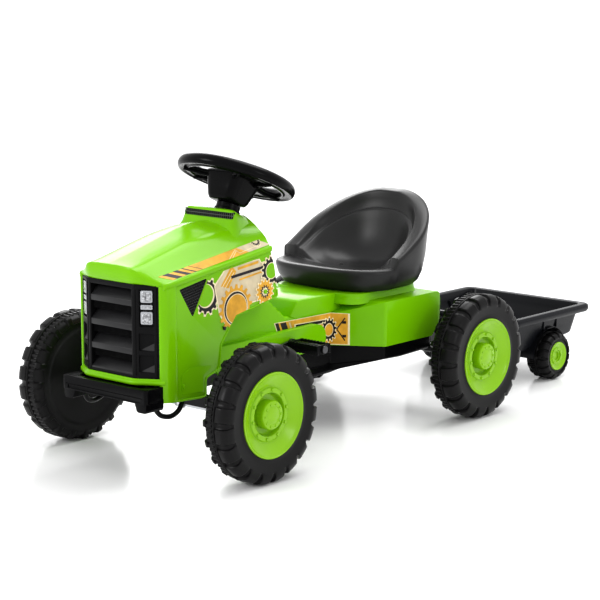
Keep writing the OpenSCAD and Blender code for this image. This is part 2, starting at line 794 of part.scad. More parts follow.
module pedal(side) {
    swing = side > 0 ? 1 : -1;
    reach = swing * crank_arm;
    translate([0, crank_y + reach * cos(pedal_lift), crank_z + reach * sin(pedal_lift)])
        on_side(side) difference() {
            translate([pedal_in, -19, -9]) cube([pedal_out - pedal_in - 3, 38, 18]);
            rod_x(spindle_r + running, pedal_in - 1, pedal_out);
            for (i = [0:3], e = [-1, 1])
                translate([pedal_in + 8 + i * 17, e * 19 - 2, -10]) cube([9, 4, 20]);
        }
}

module pedal_left() { color(black) pedal(left); }
module pedal_right() { color(black) pedal(right); }

module rear_axle() {
    color(steel) translate([0, rear_y, wheel_r]) {
        rod_x(rod_r, -rear_track + 10, rear_track - 10);
        for (s = [-1, 1])
            translate([s * (rear_track - 13), 0, 0]) rod_x(10, -2.5, 2.5, $fn = 6);
    }
}

// Tubes that hold the rear wheels away from the frame
module rear_spacers() {
    from_x = rail_x + rail_w / 2 + 2.5;
    to_x = rear_track - rear_tyre_w - 0.5;
    color(black) translate([0, rear_y, wheel_r])
        for (s = [-1, 1])
            difference() {
                rod_x(9.5, s > 0 ? from_x : -to_x, s > 0 ? to_x : -from_x);
                rod_x(rod_r, -200, 200);
            }
}

// ---------- hitch and trailer ----------

hitch_plate_z = rail_z + rail_h;

module hitch_bracket() {
    color(black) difference() {
        from_front() {
            translate([-rail_x - rail_w / 2, 640, hitch_plate_z]) cube([2 * rail_x + rail_w, 26, 5]);
            translate([-22, 640, hitch_plate_z]) cube([44, hitch_run - 640, 5]);
            translate([0, hitch_run, hitch_plate_z]) cylinder(r = 22, h = 5);
        }
        translate([0, hitch_y, hitch_plate_z - 1]) cylinder(r = 5 + running, h = 8);
    }
}

module tow_pin() {
    color(steel) translate([0, hitch_y, 0]) difference() {
        union() {
            translate([0, 0, hitch_plate_z - 24]) cylinder(r = 5, h = 30);
            translate([0, 0, hitch_plate_z + 5]) cylinder(r = 11, h = 4);
        }
        translate([0, 0, hitch_plate_z - 18]) rod_x(1.4, -10, 10);
    }
}

module pin_clip() {
    color(steel) translate([0, hitch_y, hitch_plate_z - 18]) {
        rod_x(1.3, -12, 13);
        translate([19, 0, 0]) rotate([90, 0, 0]) rotate_extrude() translate([6, 0]) circle(r = 1.3);
    }
}

module drawbar() {
    eye_z = hitch_plate_z - 10;
    color(black) difference() {
        from_front() {
            translate([0, hitch_run, eye_z]) cylinder(r = 18, h = 8);
            translate([-14, hitch_run, eye_z]) cube([28, 76, 8]);
            side_profile([[hitch_run + 60, eye_z], [hitch_run + 76, eye_z + 8], [hitch_run + 76, eye_z],
                [hitch_run + 120, 92], [hitch_run + 300, 92], [hitch_run + 300, 84],
                [hitch_run + 114, 84]], 14);
        }
        translate([0, hitch_y, eye_z - 1]) cylinder(r = 5 + running, h = 12);
    }
}

module trailer_tub() {
    rear = tub_rear;
    front = tub_front;
    mid = (front + rear) / 2;
    span = rear - front;
    color(black) from_front() difference() {
        union() {
            // rolled rim
            translate([0, mid, rim_z - rim_h]) linear_extrude(rim_h) round_rect(2 * tub_half, span, 12);
            // walls below the rim
            intersection() {
                side_profile([[front + 14, 135], [front + 16, 64], [front + 90, 70], [rear - 95, 84],
                    [rear - 60, 88], [rear - 30, 116], [rear - 26, 135]], 148);
                translate([0, mid, 50]) linear_extrude(90) round_rect(296, span, 20);
            }
        }
        // load space
        translate([0, mid - 2, 112]) linear_extrude(60) round_rect(284, span - 44, 14);
        translate([0, mid - 5, tub_floor]) linear_extrude(60) round_rect(210, span - 56, 12);
        // wheel wells
        for (s = [-1, 1])
            translate([s * 150 - 38, trailer_axle_run - 58, 40]) cube([76, 116, 68.5]);
        // hollow underside and the drawbar's way in
        translate([0, mid - 5, 40]) linear_extrude(tub_floor - 3 - 40) round_rect(218, span - 60, 10);
        translate([-16, front, 60]) cube([32, 60, 32]);
    }
    // ribs below the floor that hold the axle
    color(black) from_front() difference() {
        for (s = [-1, 1])
            translate([s * 102 - 4, trailer_axle_run - 14, small_r - 12])
                cube([8, 28, tub_floor - small_r + 10]);
        translate([0, trailer_axle_run, small_r]) rod_x(small_axle_r, -120, 120);
    }
}

// Axle with a collar inside and a nut outside each wheel
module trailer_axle() {
    color(steel) translate([0, trailer_y, small_r]) {
        rod_x(small_axle_r, -small_track + 11, small_track - 11);
        for (s = [-1, 1]) {
            translate([s * (small_track - 13.5), 0, 0]) rod_x(7.5, -2, 2, $fn = 6);
            translate([s * 112, 0, 0]) rod_x(8, -5.5, 5.5);
        }
    }
}

small_ring_r = 32;

module trailer_wheel(side) {
    on_side(side) translate([small_track - small_w, trailer_y, small_r])
        tyre_solid(small_r, small_w, 10, small_axle_r + running, 16, small_ring_r);
}

module trailer_wheel_left() { color(black) trailer_wheel(left); }
module trailer_wheel_right() { color(black) trailer_wheel(right); }

// Green disc of a trailer wheel
module trailer_rim(side) {
    on_side(side) translate([small_track - small_w, trailer_y, small_r])
        rotate([90, 0, 90]) rotate_extrude() polygon([
            [10.5, small_w - 12], [18, small_w - 12], [22, small_w - 8], [small_ring_r, small_w - 3],
            [small_ring_r, small_w - 6], [22, small_w - 11], [18, small_w - 15], [10.5, small_w - 15]]);
}

module trailer_rim_left() { color(green) trailer_rim(left); }
module trailer_rim_right() { color(green) trailer_rim(right); }

main_frame();
front_axle_beam();
chassis_tray();
body_shell();
hood_shell();
front_grille();
headlamp_left();
headlamp_right();
top_vent();
side_vent_left();
side_vent_right();
front_bumper();
bumper_stays();
seat();
seat_bolts();
body_screws();
column_collar();
column_bracket();
crank_bushes();
axle_bushes();
drive_chain();
chain_guard();
hitch_bracket();
tow_pin();
pin_clip();
knuckle_left();
knuckle_right();
kingpin_left();
kingpin_right();
front_tyre_left();
front_tyre_right();
front_rim_left();
front_rim_right();
front_hubcap_left();
front_hubcap_right();
tie_rod();
steering_column();
steering_wheel();
wheel_cap();
rear_axle();
rear_sprocket();
rear_spacers();
rear_tyre_left();
rear_tyre_right();
rear_rim_left();
rear_rim_right();
rear_hubcap_left();
rear_hubcap_right();
crankset();
chainring();
pedal_left();
pedal_right();
trailer_tub();
drawbar();
trailer_axle();
trailer_wheel_left();
trailer_wheel_right();
trailer_rim_left();
trailer_rim_right();
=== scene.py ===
"""Looks of the ride-on pedal tractor and its trailer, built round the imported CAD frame.

Lengths in this file are millimetres unless a name says otherwise. The tractor faces -Y, +X is its
left side. Most outlines start at the front axle line, as in the CAD source: the matrix FRONT takes
them to the shared frame in metres.
"""
import json
import math

import bmesh
import bpy
from mathutils import Matrix, Vector


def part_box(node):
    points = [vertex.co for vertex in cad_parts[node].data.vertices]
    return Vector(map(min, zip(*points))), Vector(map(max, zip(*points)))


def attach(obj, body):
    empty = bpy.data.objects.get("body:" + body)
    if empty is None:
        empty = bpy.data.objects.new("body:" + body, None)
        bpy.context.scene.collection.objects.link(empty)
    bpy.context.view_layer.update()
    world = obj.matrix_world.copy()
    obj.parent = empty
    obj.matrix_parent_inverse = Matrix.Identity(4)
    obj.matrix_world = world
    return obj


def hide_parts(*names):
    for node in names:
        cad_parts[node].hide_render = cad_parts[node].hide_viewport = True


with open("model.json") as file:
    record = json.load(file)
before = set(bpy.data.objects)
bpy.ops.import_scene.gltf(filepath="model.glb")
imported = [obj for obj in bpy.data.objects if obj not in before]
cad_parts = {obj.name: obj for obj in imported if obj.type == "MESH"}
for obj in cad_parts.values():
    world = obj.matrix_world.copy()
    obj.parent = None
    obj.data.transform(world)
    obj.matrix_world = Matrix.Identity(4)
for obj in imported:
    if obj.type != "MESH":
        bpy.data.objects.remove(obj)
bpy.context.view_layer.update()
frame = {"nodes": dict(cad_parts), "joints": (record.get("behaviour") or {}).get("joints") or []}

MM = 0.001
LEFT, RIGHT = 1, -1
SIDES = (("left", LEFT), ("right", RIGHT))


# ---------- places from the frame ----------

def span(node):
    """Lowest and highest corner of a CAD node, in millimetres."""
    low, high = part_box(node)
    return low / MM, high / MM


def middle(node):
    low, high = span(node)
    return (low + high) / 2


def joint(name):
    return next(j for j in frame["joints"] if j["name"] == name)


front_axle = middle("front_tyre_left")
trailer_axle = middle("trailer_wheel_left")
FRONT = Matrix.Scale(MM, 4) @ Matrix.Translation((0, front_axle.y, 0))
MIRROR = Matrix.Scale(-1, 4, (1, 0, 0))


def on_side(side):
    return Matrix.Identity(4) if side == LEFT else MIRROR


# ---------- shapes ----------

class Form:
    """Points and faces in millimetres, collected from simple parts."""

    def __init__(self):
        self.points, self.faces, self.marks = [], [], []

    def add(self, part, mark=0, move=None):
        points, faces = part
        base = len(self.points)
        self.points += [move @ Vector(p) if move else Vector(p) for p in points]
        self.faces += [[base + i for i in face] for face in faces]
        self.marks += [mark] * len(faces)
        return self

    def add_both(self, part, mark=0, move=None):
        """The part and its mirror image across the centre plane."""
        move = move or Matrix.Identity(4)
        return self.add(part, mark, move).add(part, mark, MIRROR @ move)


def grid(rows, ring=False, loop=False, caps=False):
    """Quads between rows of points. ring closes each row, loop joins the last row to the first."""
    n, m = len(rows), len(rows[0])
    faces = [
        (i * m + j, i * m + (j + 1) % m, (i + 1) % n * m + (j + 1) % m, (i + 1) % n * m + j)
        for i in range(n if loop else n - 1) for j in range(m if ring else m - 1)]
    if caps:
        faces += [tuple(reversed(range(m))), tuple(range((n - 1) * m, n * m))]
    return [p for row in rows for p in row], faces


def prism(outline, low, high, axis=2):
    """An outline in the other two axes, stretched along one axis."""
    def at(p, h):
        return [(h, p[0], p[1]), (p[0], h, p[1]), (p[0], p[1], h)][axis]
    return grid([[at(p, h) for p in outline] for h in (low, high)], ring=True, caps=True)


def oblong(left, right, low, high):
    return [(left, low), (right, low), (right, high), (left, high)]


def block(low, high):
    return prism(oblong(low[0], high[0], low[1], high[1]), low[2], high[2])


def revolve(profile, steps=96, ring=True):
    """A profile of (x, r) turned round the X axis."""
    turns = [2 * math.pi * i / steps for i in range(steps)]
    return grid([[(x, r * math.cos(t), r * math.sin(t)) for x, r in profile] for t in turns],
                ring=ring, loop=True)


def bend(start, corner, end, steps):
    """Points of a curve that leaves one side of a corner and meets the other."""
    turns = [k / steps for k in range(steps + 1)]
    return [(1 - t) ** 2 * start + 2 * t * (1 - t) * corner + t * t * end for t in turns]


def rounded(points, radius, steps=4):
    """A closed outline with each corner replaced by an arc."""
    out = []
    for i, p in enumerate(points):
        p = Vector(p[:2])
        a, b = Vector(points[i - 1][:2]) - p, Vector(points[(i + 1) % len(points)][:2]) - p
        r = points[i][2] if len(points[i]) > 2 else radius
        reach = min(r / max(math.tan(a.angle(b) / 2), 1e-3), a.length * 0.49, b.length * 0.49)
        start, end = p + a.normalized() * reach, p + b.normalized() * reach
        out += [tuple(q) for q in bend(start, p, end, steps)]
    return out


def arc(cx, cy, r, start, end, steps):
    """Points on a circle between two angles in degrees."""
    turns = [math.radians(start + (end - start) * k / steps) for k in range(steps + 1)]
    return [(cx + r * math.cos(t), cy + r * math.sin(t)) for t in turns]


def tube(path, radius, sides=12):
    """A round bar along a path."""
    path = [Vector(p) for p in path]
    rows, side = [], None
    for i, p in enumerate(path):
        along = (path[min(i + 1, len(path) - 1)] - path[max(i - 1, 0)]).normalized()
        side = (side or along.orthogonal()).cross(along)
        side = along.cross(side).normalized()
        up = along.cross(side)
        rows.append([p + radius * (math.cos(2 * math.pi * k / sides) * side
                                   + math.sin(2 * math.pi * k / sides) * up) for k in range(sides)])
    return grid(rows, ring=True, caps=True)


def smooth_path(points, steps=6):
    """A curve that passes through the points."""
    pts = [Vector(p) for p in points]
    out = []
    for i in range(len(pts) - 1):
        a, b = pts[i], pts[i + 1]
        before, after = pts[max(i - 1, 0)], pts[min(i + 2, len(pts) - 1)]
        for k in range(steps):
            t = k / steps
            out.append(0.5 * (2 * a + (b - before) * t
                              + (2 * before - 5 * a + 4 * b - after) * t * t
                              + (3 * a - before - 3 * b + after) * t ** 3))
    return out + [pts[-1]]


def ease(t):
    t = min(max(t, 0), 1)
    return t * t * (3 - 2 * t)


# ---------- pieces ----------

def make(name, form, place=FRONT):
    mesh = bpy.data.meshes.new(name)
    mesh.from_pydata([place @ p for p in form.points], [], form.faces)
    for _ in range(max(form.marks) + 1):
        mesh.materials.append(None)
    mesh.polygons.foreach_set("material_index", form.marks)
    work = bmesh.new()
    work.from_mesh(mesh)
    bmesh.ops.remove_doubles(work, verts=work.verts, dist=1e-6)
    bmesh.ops.dissolve_degenerate(work, edges=work.edges, dist=1e-6)
    bmesh.ops.recalc_face_normals(work, faces=work.faces)
    work.to_mesh(mesh)
    work.free()
    thing = bpy.data.objects.new(name, mesh)
    bpy.context.scene.collection.objects.link(thing)
    return thing


def settle(thing):
    """Applies the modifiers."""
    graph = bpy.context.evaluated_depsgraph_get()
    mesh = bpy.data.meshes.new_from_object(thing.evaluated_get(graph))
    thing.modifiers.clear()
    thing.data = mesh
    return thing


def soften(thing, width, segments=3, angle=25):
    """Rounds the edges."""
    mod = thing.modifiers.new("bevel", "BEVEL")
    mod.width, mod.segments = width * MM, segments
    mod.limit_method, mod.angle_limit = "ANGLE", math.radians(angle)
    mod.use_clamp_overlap = True
    return settle(thing)


def thicken(thing, depth):
    mod = thing.modifiers.new("solid", "SOLIDIFY")
    mod.thickness, mod.offset = depth * MM, -1
    return settle(thing)


def combine(thing, form, how="DIFFERENCE", place=FRONT):
    """Cuts, joins or intersects with another form."""
    tool = make("tool", form, place)
    mod = thing.modifiers.new("bool", "BOOLEAN")
    mod.operation, mod.solver, mod.object, mod.use_self = how, "EXACT", tool, True
    settle(thing)
    bpy.data.objects.remove(tool)
    return thing


def finish_piece(thing, body, materials, replaces=(), angle=32):
    slots = thing.data.materials
    for i, material in enumerate(materials if isinstance(materials, list) else [materials]):
        if i < len(slots):
            slots[i] = material
        else:
            slots.append(material)
    thing.data.shade_smooth()
    thing.data.set_sharp_from_angle(angle=math.radians(angle))
    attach(thing, body)
    if replaces:
        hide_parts(*replaces)
    return thing


# ---------- materials ----------

def shader(name, colour, rough, metal=0.0, coat=0.0, coat_rough=0.05, specular=0.5):
    """A new material with its constant values set on the shader."""
    material = bpy.data.materials.new(name)
    material.use_nodes = True
    tree = material.node_tree
    bsdf = tree.nodes["Principled BSDF"]
    bsdf.inputs["Base Color"].default_value = (*colour, 1)
    bsdf.inputs["Roughness"].default_value = rough
    bsdf.inputs["Metallic"].default_value = metal
    bsdf.inputs["Coat Weight"].default_value = coat
    bsdf.inputs["Coat Roughness"].default_value = coat_rough
    bsdf.inputs["Specular IOR Level"].default_value = specular
    return material, tree, bsdf


def node(tree, kind, links=(), **values):
    """A node with values, whose inputs are linked from (input name, output socket) pairs."""
    new = tree.nodes.new(kind)
    for key, value in values.items():
        if key in new.inputs:
            new.inputs[key].default_value = value
        else:
            setattr(new, key, value)
    for name, socket in links:
        tree.links.new(socket, new.inputs[name])
    return new


def uneven_gloss(tree, bsdf, fac, low, high):
    gloss = node(tree, "ShaderNodeMapRange", [("Value", fac)], **{"To Min": low, "To Max": high})
    tree.links.new(gloss.outputs["Result"], bsdf.inputs["Roughness"])


def add_bump(tree, bsdf, height, strength, distance):
    bump = node(tree, "ShaderNodeBump", [("Height", height)], Strength=strength, Distance=distance)
    tree.links.new(bump.outputs["Normal"], bsdf.inputs["Normal"])


def plastic(name, colour, rough=0.3, shade=0.12, grain=900.0, depth=0.00003, blotch=9.0, **more):
    """Moulded plastic: slow colour variation, fine grain, and uneven gloss."""
    material, tree, bsdf = shader(name, colour, rough, **more)
    where = node(tree, "ShaderNodeTexCoord").outputs["Object"]
    slow = node(tree, "ShaderNodeTexNoise", [("Vector", where)], Scale=blotch, Detail=3.0)
    fine = node(tree, "ShaderNodeTexNoise", [("Vector", where)], Scale=grain, Detail=2.0)
    ramp = node(tree, "ShaderNodeValToRGB", [("Fac", slow.outputs["Fac"])])
    low, high = ramp.color_ramp.elements
    low.position, high.position = 0.3, 0.7
    low.color = (*[c * (1 - shade) for c in colour], 1)
    high.color = (*[min(1, c * (1 + shade)) for c in colour], 1)
    tree.links.new(ramp.outputs["Color"], bsdf.inputs["Base Color"])
    uneven_gloss(tree, bsdf, slow.outputs["Fac"], rough * 0.85, rough * 1.2)
    add_bump(tree, bsdf, fine.outputs["Fac"], 0.6, depth)
    return material


def brushed(name, colour, rough):
    """Metal with fine drawn lines and slight stains."""
    material, tree, bsdf = shader(name, colour, rough, metal=1.0)
    where = node(tree, "ShaderNodeTexCoord").outputs["Object"]
    stretch = node(tree, "ShaderNodeMapping", [("Vector", where)], Scale=(60, 900, 900))
    lines = node(tree, "ShaderNodeTexNoise", [("Vector", stretch.outputs["Vector"])],
                 Scale=1.0, Detail=3.0)
    uneven_gloss(tree, bsdf, lines.outputs["Fac"], rough * 0.7, rough * 1.4)
    add_bump(tree, bsdf, lines.outputs["Fac"], 0.3, 0.00004)
    return material


def lamp_face(name):
    """Silvered reflector cells behind a clear lens, with painted reflection: each cell is bright
    silver in the middle and fades to near-black at its edge.
    """
    material, tree, bsdf = shader(name, (0.5, 0.51, 0.53), 0.18, metal=0.6, coat=0.5)
    where = node(tree, "ShaderNodeTexCoord").outputs["Object"]
    cells = node(tree, "ShaderNodeTexVoronoi", [("Vector", where)], Scale=260.0)
    # painted reflection: the colour runs from silver at each cell's middle to near-black at its
    # edge
    ramp = node(tree, "ShaderNodeValToRGB", [("Fac", cells.outputs["Distance"])])
    ramp.color_ramp.elements[0].color = (0.60, 0.61, 0.63, 1)
    ramp.color_ramp.elements[1].color = (0.05, 0.05, 0.055, 1)
    tree.links.new(ramp.outputs["Color"], bsdf.inputs["Base Color"])
    add_bump(tree, bsdf, cells.outputs["Distance"], 1.0, 0.001)
    return material


green = plastic("green_plastic", (0.170, 0.445, 0.0004), 0.22, shade=0.04, coat=0.12,
                specular=0.14)
rim_green = plastic("rim_green", (0.22, 0.45, 0.004), 0.26, shade=0.05, grain=1400.0, coat=0.1,
                    specular=0.3)
black = plastic("black_plastic", (0.0035, 0.0035, 0.004), 0.24, specular=0.09)
matt_black = plastic("matt_black", (0.006, 0.006, 0.0065), 0.38, grain=1300.0, depth=0.00006,
                     specular=0.10)
# louvre_black_painted_light is a lighter copy of the black plastic: painted light on the grille
# blades and the side vents' wires, against the darker black behind them
louvre = plastic("louvre_black_painted_light", (0.020, 0.020, 0.021), 0.34, specular=0.25)
# grey copy of the black plastic for the scoop's mesh: painted highlight on its wires
vent_highlight_grey = plastic("vent_mesh", (0.11, 0.11, 0.115), 0.34, specular=0.4)
tyre_black = plastic("tyre_plastic", (0.0075, 0.0072, 0.0075), 0.32, grain=700.0, depth=0.00008,
                     specular=0.16)
seat_black = plastic("seat_plastic", (0.015, 0.0148, 0.015), 0.34, grain=1600.0, depth=0.00005,
                     specular=0.28)
paint = plastic("frame_paint", (0.006, 0.006, 0.0065), 0.3, specular=0.2)
nylon = plastic("bush_plastic", (0.62, 0.61, 0.56), 0.5)
steel = brushed("steel", (0.56, 0.57, 0.59), 0.32)
dark_steel = brushed("dark_steel", (0.10, 0.10, 0.105), 0.36)
# silver reflector with painted reflection in its cells
silver = lamp_face("lamp_silver")
silver_plain = plastic("lamp_frame", (0.36, 0.37, 0.39), 0.25, shade=0.08, coat=0.3)
black_tub = plastic("tub_plastic", (0.006, 0.0065, 0.0085), 0.24, specular=0.16)
orange = plastic("print_orange", (0.62, 0.33, 0.04), 0.3, shade=0.18, blotch=60.0, specular=0.15)
cream = plastic("print_cream", (0.78, 0.68, 0.46), 0.3, shade=0.10, blotch=60.0, specular=0.15)
ink = plastic("print_ink", (0.020, 0.017, 0.020), 0.3, specular=0.15)
peach = plastic("print_peach", (0.56, 0.48, 0.33), 0.3, shade=0.16, blotch=45.0, specular=0.15)
PRINT = [orange, cream, ink, peach, green]
ORANGE, CREAM, INK, PEACH, GREEN = range(5)


# ---------- wheels ----------

LUG_SAMPLES = 16               # lines of points across one lug pitch
LUG_GAP = 0.15                 # half the gap between two lugs, as a share of the pitch
AXLE_R, SMALL_AXLE_R = 6.3, 5  # bores of the tyres
DISC_SHARE, SMALL_DISC_SHARE = 0.62, 0.60   # radius of a wheel disc against its tyre's


def lug_turns(gap):
    """Where the samples of one lug pitch lie, 0 to 1. Close pairs stand at the edges of the gap."""
    near = [0, 0.55 * gap, gap - 0.014, gap + 0.014, gap + 0.045,
            gap + 0.3 * (0.5 - gap), gap + 0.55 * (0.5 - gap), gap + 0.8 * (0.5 - gap)]
    return near + [0.5] + [1 - t for t in reversed(near[1:])]


def tyre_form(radius, width, ring, hub, bore, lugs, depth):
    """Blow-moulded tyre: shoulder lugs, ribbed inner half, centre seam and a smooth side band."""
    r, w, d = radius, width, depth
    c = w * 0.5
    even = [k / LUG_SAMPLES for k in range(LUG_SAMPLES)]
    ribs = [1 if k % 4 in (0, 1) else 0 for k in range(LUG_SAMPLES)]
    knobs = [1 if k in (0, 1, 2, 14, 15) else 0 for k in range(LUG_SAMPLES)]
    raised = [0, 0.03, 0.22, 0.85] + [1] * 9 + [0.85, 0.22, 0.03]
    flat = [0] * LUG_SAMPLES
    rows = []  # (x, radius, x on a lug, radius on a lug, pattern, turns)

    def row(x, rad, x2, rad2, pattern, turns=even):
        rows.append((x, rad, x2, rad2, pattern, turns))

    def plain(*points):
        rows.extend((x, rad, x, rad, flat, even) for x, rad in points)

    plain((0, bore), (0, hub + 4), (3, hub + 9), (3, r * 0.5), (5, r * 0.68), (2.5, r * 0.74),
          (0.5, r * 0.80), (0.8, r * 0.86))
    row(2, r - 3.2 * d, 1.5, r - 2.6 * d, knobs)
    row(5, r - 1.9 * d, 3.2, r - 1.1 * d, knobs)
    row(9, r - 1.25 * d, 7, r - 0.35 * d, knobs)
    row(w * 0.20, r - 0.95 * d, w * 0.20, r - 0.10 * d, knobs)
    row(w * 0.22, r - 0.75 * d, w * 0.22, r - 0.35 * d, ribs)
    row(w * 0.33, r - 0.62 * d, w * 0.33, r - 0.22 * d, ribs)
    row(c - 4, r - 0.55 * d, c - 4, r - 0.18 * d, ribs)
    plain((c - 3.4, r - 0.62 * d), (c - 2.2, r - 0.62 * d), (c - 1.4, r - 0.18 * d),
          (c - 0.5, r - 0.04 * d), (c + 0.5, r - 0.04 * d), (c + 1.4, r - 0.18 * d),
          (c + 2.2, r - 0.75 * d))
    gap = LUG_GAP
    turns = lug_turns(gap)
    row(c + 3.2, r - 0.98 * d, c + 3.0, r - 0.42 * d, raised, turns)
    row(c + 4.6, r - 1.05 * d, c + 4.6, r - 0.10 * d, raised, turns)
    row(w * 0.68, r - 1.10 * d, w * 0.68, r, raised, turns)
    row(w * 0.76, r - 1.30 * d, w * 0.77, r - 0.08 * d, raised, turns)
    row(w - 9.5, r - 1.75 * d, w - 8.2, r - 0.50 * d, raised, lug_turns(gap * 0.98))
    row(w - 6.5, r - 2.35 * d, w - 4.2, r - 1.30 * d, raised, lug_turns(gap * 0.94))
    row(w - 4.8, r - 2.95 * d, w - 2.0, r - 2.20 * d, raised, lug_turns(gap * 0.86))
    row(w - 4.0, r - 3.40 * d, w - 1.1, r - 2.90 * d, raised, lug_turns(gap * 0.70))
    row(w - 3.2, r - 3.70 * d, w - 0.8, r - 3.40 * d, raised, lug_turns(gap * 0.45))
    plain((w - 0.8, r - 3.95 * d), (w - 1.2, r - 4.5 * d), (w - 2.6, ring + 10),
          (w - 2.8, ring + 5), (w - 2.0, ring + 1.5), (w - 2.6, ring + 0.3), (w - 6, ring),
          (10, ring - 2), (8, hub + 2), (w * 0.6, hub), (w * 0.6, bore))
    lines = []
    for lug in range(lugs):
        for k in range(LUG_SAMPLES):
            line = []
            for x, rad, x2, rad2, pattern, where in rows:
                turn = 2 * math.pi * (lug + where[k]) / lugs
                share = pattern[k]
                px, pr = x + (x2 - x) * share, rad + (rad2 - rad) * share
                line.append((px, pr * math.cos(turn), pr * math.sin(turn)))
            lines.append(line)
    return Form().add(grid(lines, ring=True, loop=True))


def ring_of(form, part, count, x, r, start=0):
    """The same small part all round the axle line."""
    for i in range(count):
        spin = Matrix.Rotation(math.radians(360 / count * i + start), 4, "X")
        form.add(part, move=spin @ Matrix.Translation((x, r, 0)))


def disc_form(ring, width, hub):
    """Dished wheel disc with a raised bolt ring round a deep groove."""
    w, k = width, ring / 75.5
    depths = [(ring + 2, 6), (ring - 0.1, 3.0), (ring - 0.2, 1.2), (ring - 1.2, 0.5),
              (ring - 2.6, 0.7), (ring - 4, 2.4), (68 * k, 5.0), (60 * k, 9.2), (53 * k, 13.0),
              (49.5 * k, 14.6),
              (48.0 * k, 14.2), (47.2 * k, 12.6), (46.0 * k, 11.8), (39.5 * k, 11.6),
              (38.2 * k, 12.4),
              (37.2 * k, 15.0), (36.0 * k, 21.0), (34.0 * k, 23.2), (hub, 23.6), (hub, 27),
              (37 * k, 27), (50 * k, 18), (60 * k, 13), (70 * k, 8)]
    form = Form().add(revolve([(w - d, r) for r, d in depths], 128))
    bolt = revolve([(-3, 3.1), (1.2, 3.1), (2.3, 2.3), (2.6, 0)], 12, ring=False)
    ring_of(form, bolt, 10, w - 11.6, 43 * k, 9)
    return form


def cap_form(radius, width):
    """Hub cap with a flat middle and a ring of small nuts."""
    w, r = width, radius
    depths = [(0, 3.4), (r * 0.50, 3.4), (r * 0.56, 4.0), (r * 0.62, 4.0), (r * 0.66, 3.2),
              (r * 0.88, 3.4), (r * 0.95, 4.2), (r * 0.99, 6.0), (r, 9), (r, 24)]
    profile = [(w - d, rad) for rad, d in depths] + [(w - 24, 0)]
    form = Form().add(revolve(profile, ring=False))
    nut = revolve([(-2, 2.1), (1.0, 2.1), (1.9, 1.4), (2.1, 0)], 10, ring=False)
    ring_of(form, nut, 10, w - 3.6, r * 0.77)
    return form


def wheel_place(node_name, side):
    """Puts a wheel's own frame, inner face at x = 0 and +X outwards, on its axle line."""
    low, high = span(node_name)
    inner = low.x if side == LEFT else -high.x
    centre = (low + high) / 2
    return (Matrix.Scale(MM, 4) @ on_side(side)
            @ Matrix.Translation((inner, centre.y, centre.z)))


def make_wheel(end, name, side, body):
    tyre, rim, cap = (f"{end}_{part}_{name}" for part in ("tyre", "rim", "hubcap"))
    low, high = span(tyre)
    width, radius = high.x - low.x, (high.z - low.z) / 2
    place = wheel_place(tyre, side)
    ring, hub = radius * DISC_SHARE, 15
    cap_low, cap_high = span(cap)
    moulding = tyre_form(radius, width, ring, hub, AXLE_R, lugs=20, depth=5.4)
    finish_piece(make(tyre + "_moulding", moulding, place),
                 body, tyre_black, [tyre], angle=38)
    for part, ending, form in ((rim, "_disc", disc_form(ring, width, hub)),
                               (cap, "_cover", cap_form((cap_high.z - cap_low.z) / 2, width))):
        finish_piece(make(part + ending, form, place),
                     body, rim_green, [part], angle=30)


def make_small_wheel(name, side):
    tyre, rim = f"trailer_wheel_{name}", f"trailer_rim_{name}"
    low, high = span(tyre)
    width, radius = high.x - low.x, (high.z - low.z) / 2
    place = wheel_place(tyre, side)
    ring = radius * SMALL_DISC_SHARE
    body = f"trailer_{name}_wheel"
    moulding = tyre_form(radius, width, ring, 10, SMALL_AXLE_R, lugs=16, depth=3.0)
    finish_piece(make(tyre + "_moulding", moulding, place),
                 body, tyre_black, [tyre], angle=38)
    depths = [(ring + 1, 6), (ring, 2.2), (ring - 1, 1.0), (ring - 2.4, 1.6), (ring * 0.72, 5.0),
              (ring * 0.62, 5.6), (ring * 0.60, 4.2), (ring * 0.42, 4.0), (ring * 0.40, 7.0),
              (9.4, 7.6), (9.4, 12), (ring * 0.7, 10)]
    form = Form().add(revolve([(width - d, r) for r, d in depths]))
    bolt = revolve([(-2, 1.3), (0.4, 1.3), (0.9, 0.8), (1, 0)], 10, ring=False)
    ring_of(form, bolt, 8, width - 4.2, ring * 0.51)
    # cover over the axle's nut, with its own small bolts
    end = width + span("trailer_axle")[1].x - (high.x if side == LEFT else -low.x) + 1.6
    form.add(revolve([(width - 8, 10.5), (end - 1.6, 10.5), (end - 0.4, 9.6), (end, 8), (end, 0),
                      (end - 1.2, 0), (end - 1.2, 9.2), (width - 8, 9.2)], 48))
    bolt = revolve([(-1, 1.1), (0.5, 1.1), (0.9, 0.7), (1, 0)], 10, ring=False)
    ring_of(form, bolt, 8, end - 0.2, 6.4)
    finish_piece(make(rim + "_disc", form, place),
                 body, rim_green, [rim], angle=30)


# ---------- hood ----------

SIDE = span("hood_shell")[1].x - 2.5    # outer plane of the side panels
WALL = 3                                # thickness of the green mouldings
HOLE_R = 24.6                           # the column's hole in the hood

# Lines of the roof from front to rear, each at the same six stations
RIDGE = [(0, -133, 373), (0, -100, 381.5), (0, 0, 408), (0, 60, 423.5), (0, 115, 425),
         (0, 212, 424)]
CREASE = [(56, -131, 371), (57.5, -98, 376), (60, 0, 399), (60.5, 60, 409), (61, 115, 413.5),
          (62, 178, 413.5)]
LEDGE_TOP = [(76, -118, 353), (86, -97, 356), (88, 0, 370), (88, 60, 379), (88, 115, 387),
             (88, 175, 396)]
LEDGE_LOW = [(100.5, -102, 344), (105, -88, 346), (106, 0, 358.5), (106, 60, 366.5),
             (106, 115, 374), (106, 167, 381)]
# the rolled bead under the ledge, as (outwards, up) from its lower edge
BEAD = [(1.8, 1.4), (4.0, 1.0), (5.8, -1.0), (6.4, -4.2), (5.6, -7.6), (3.4, -10.2), (0.6, -11.6)]
# lower edge of the side panel as (y, z), from the front axle to the rear
COWL = [(-3, 132), (-3, 166), (31, 176), (36, 219), (73, 266), (186, 287)]


def between(a, b, t):
    return tuple(p + (q - p) * t for p, q in zip(a, b))


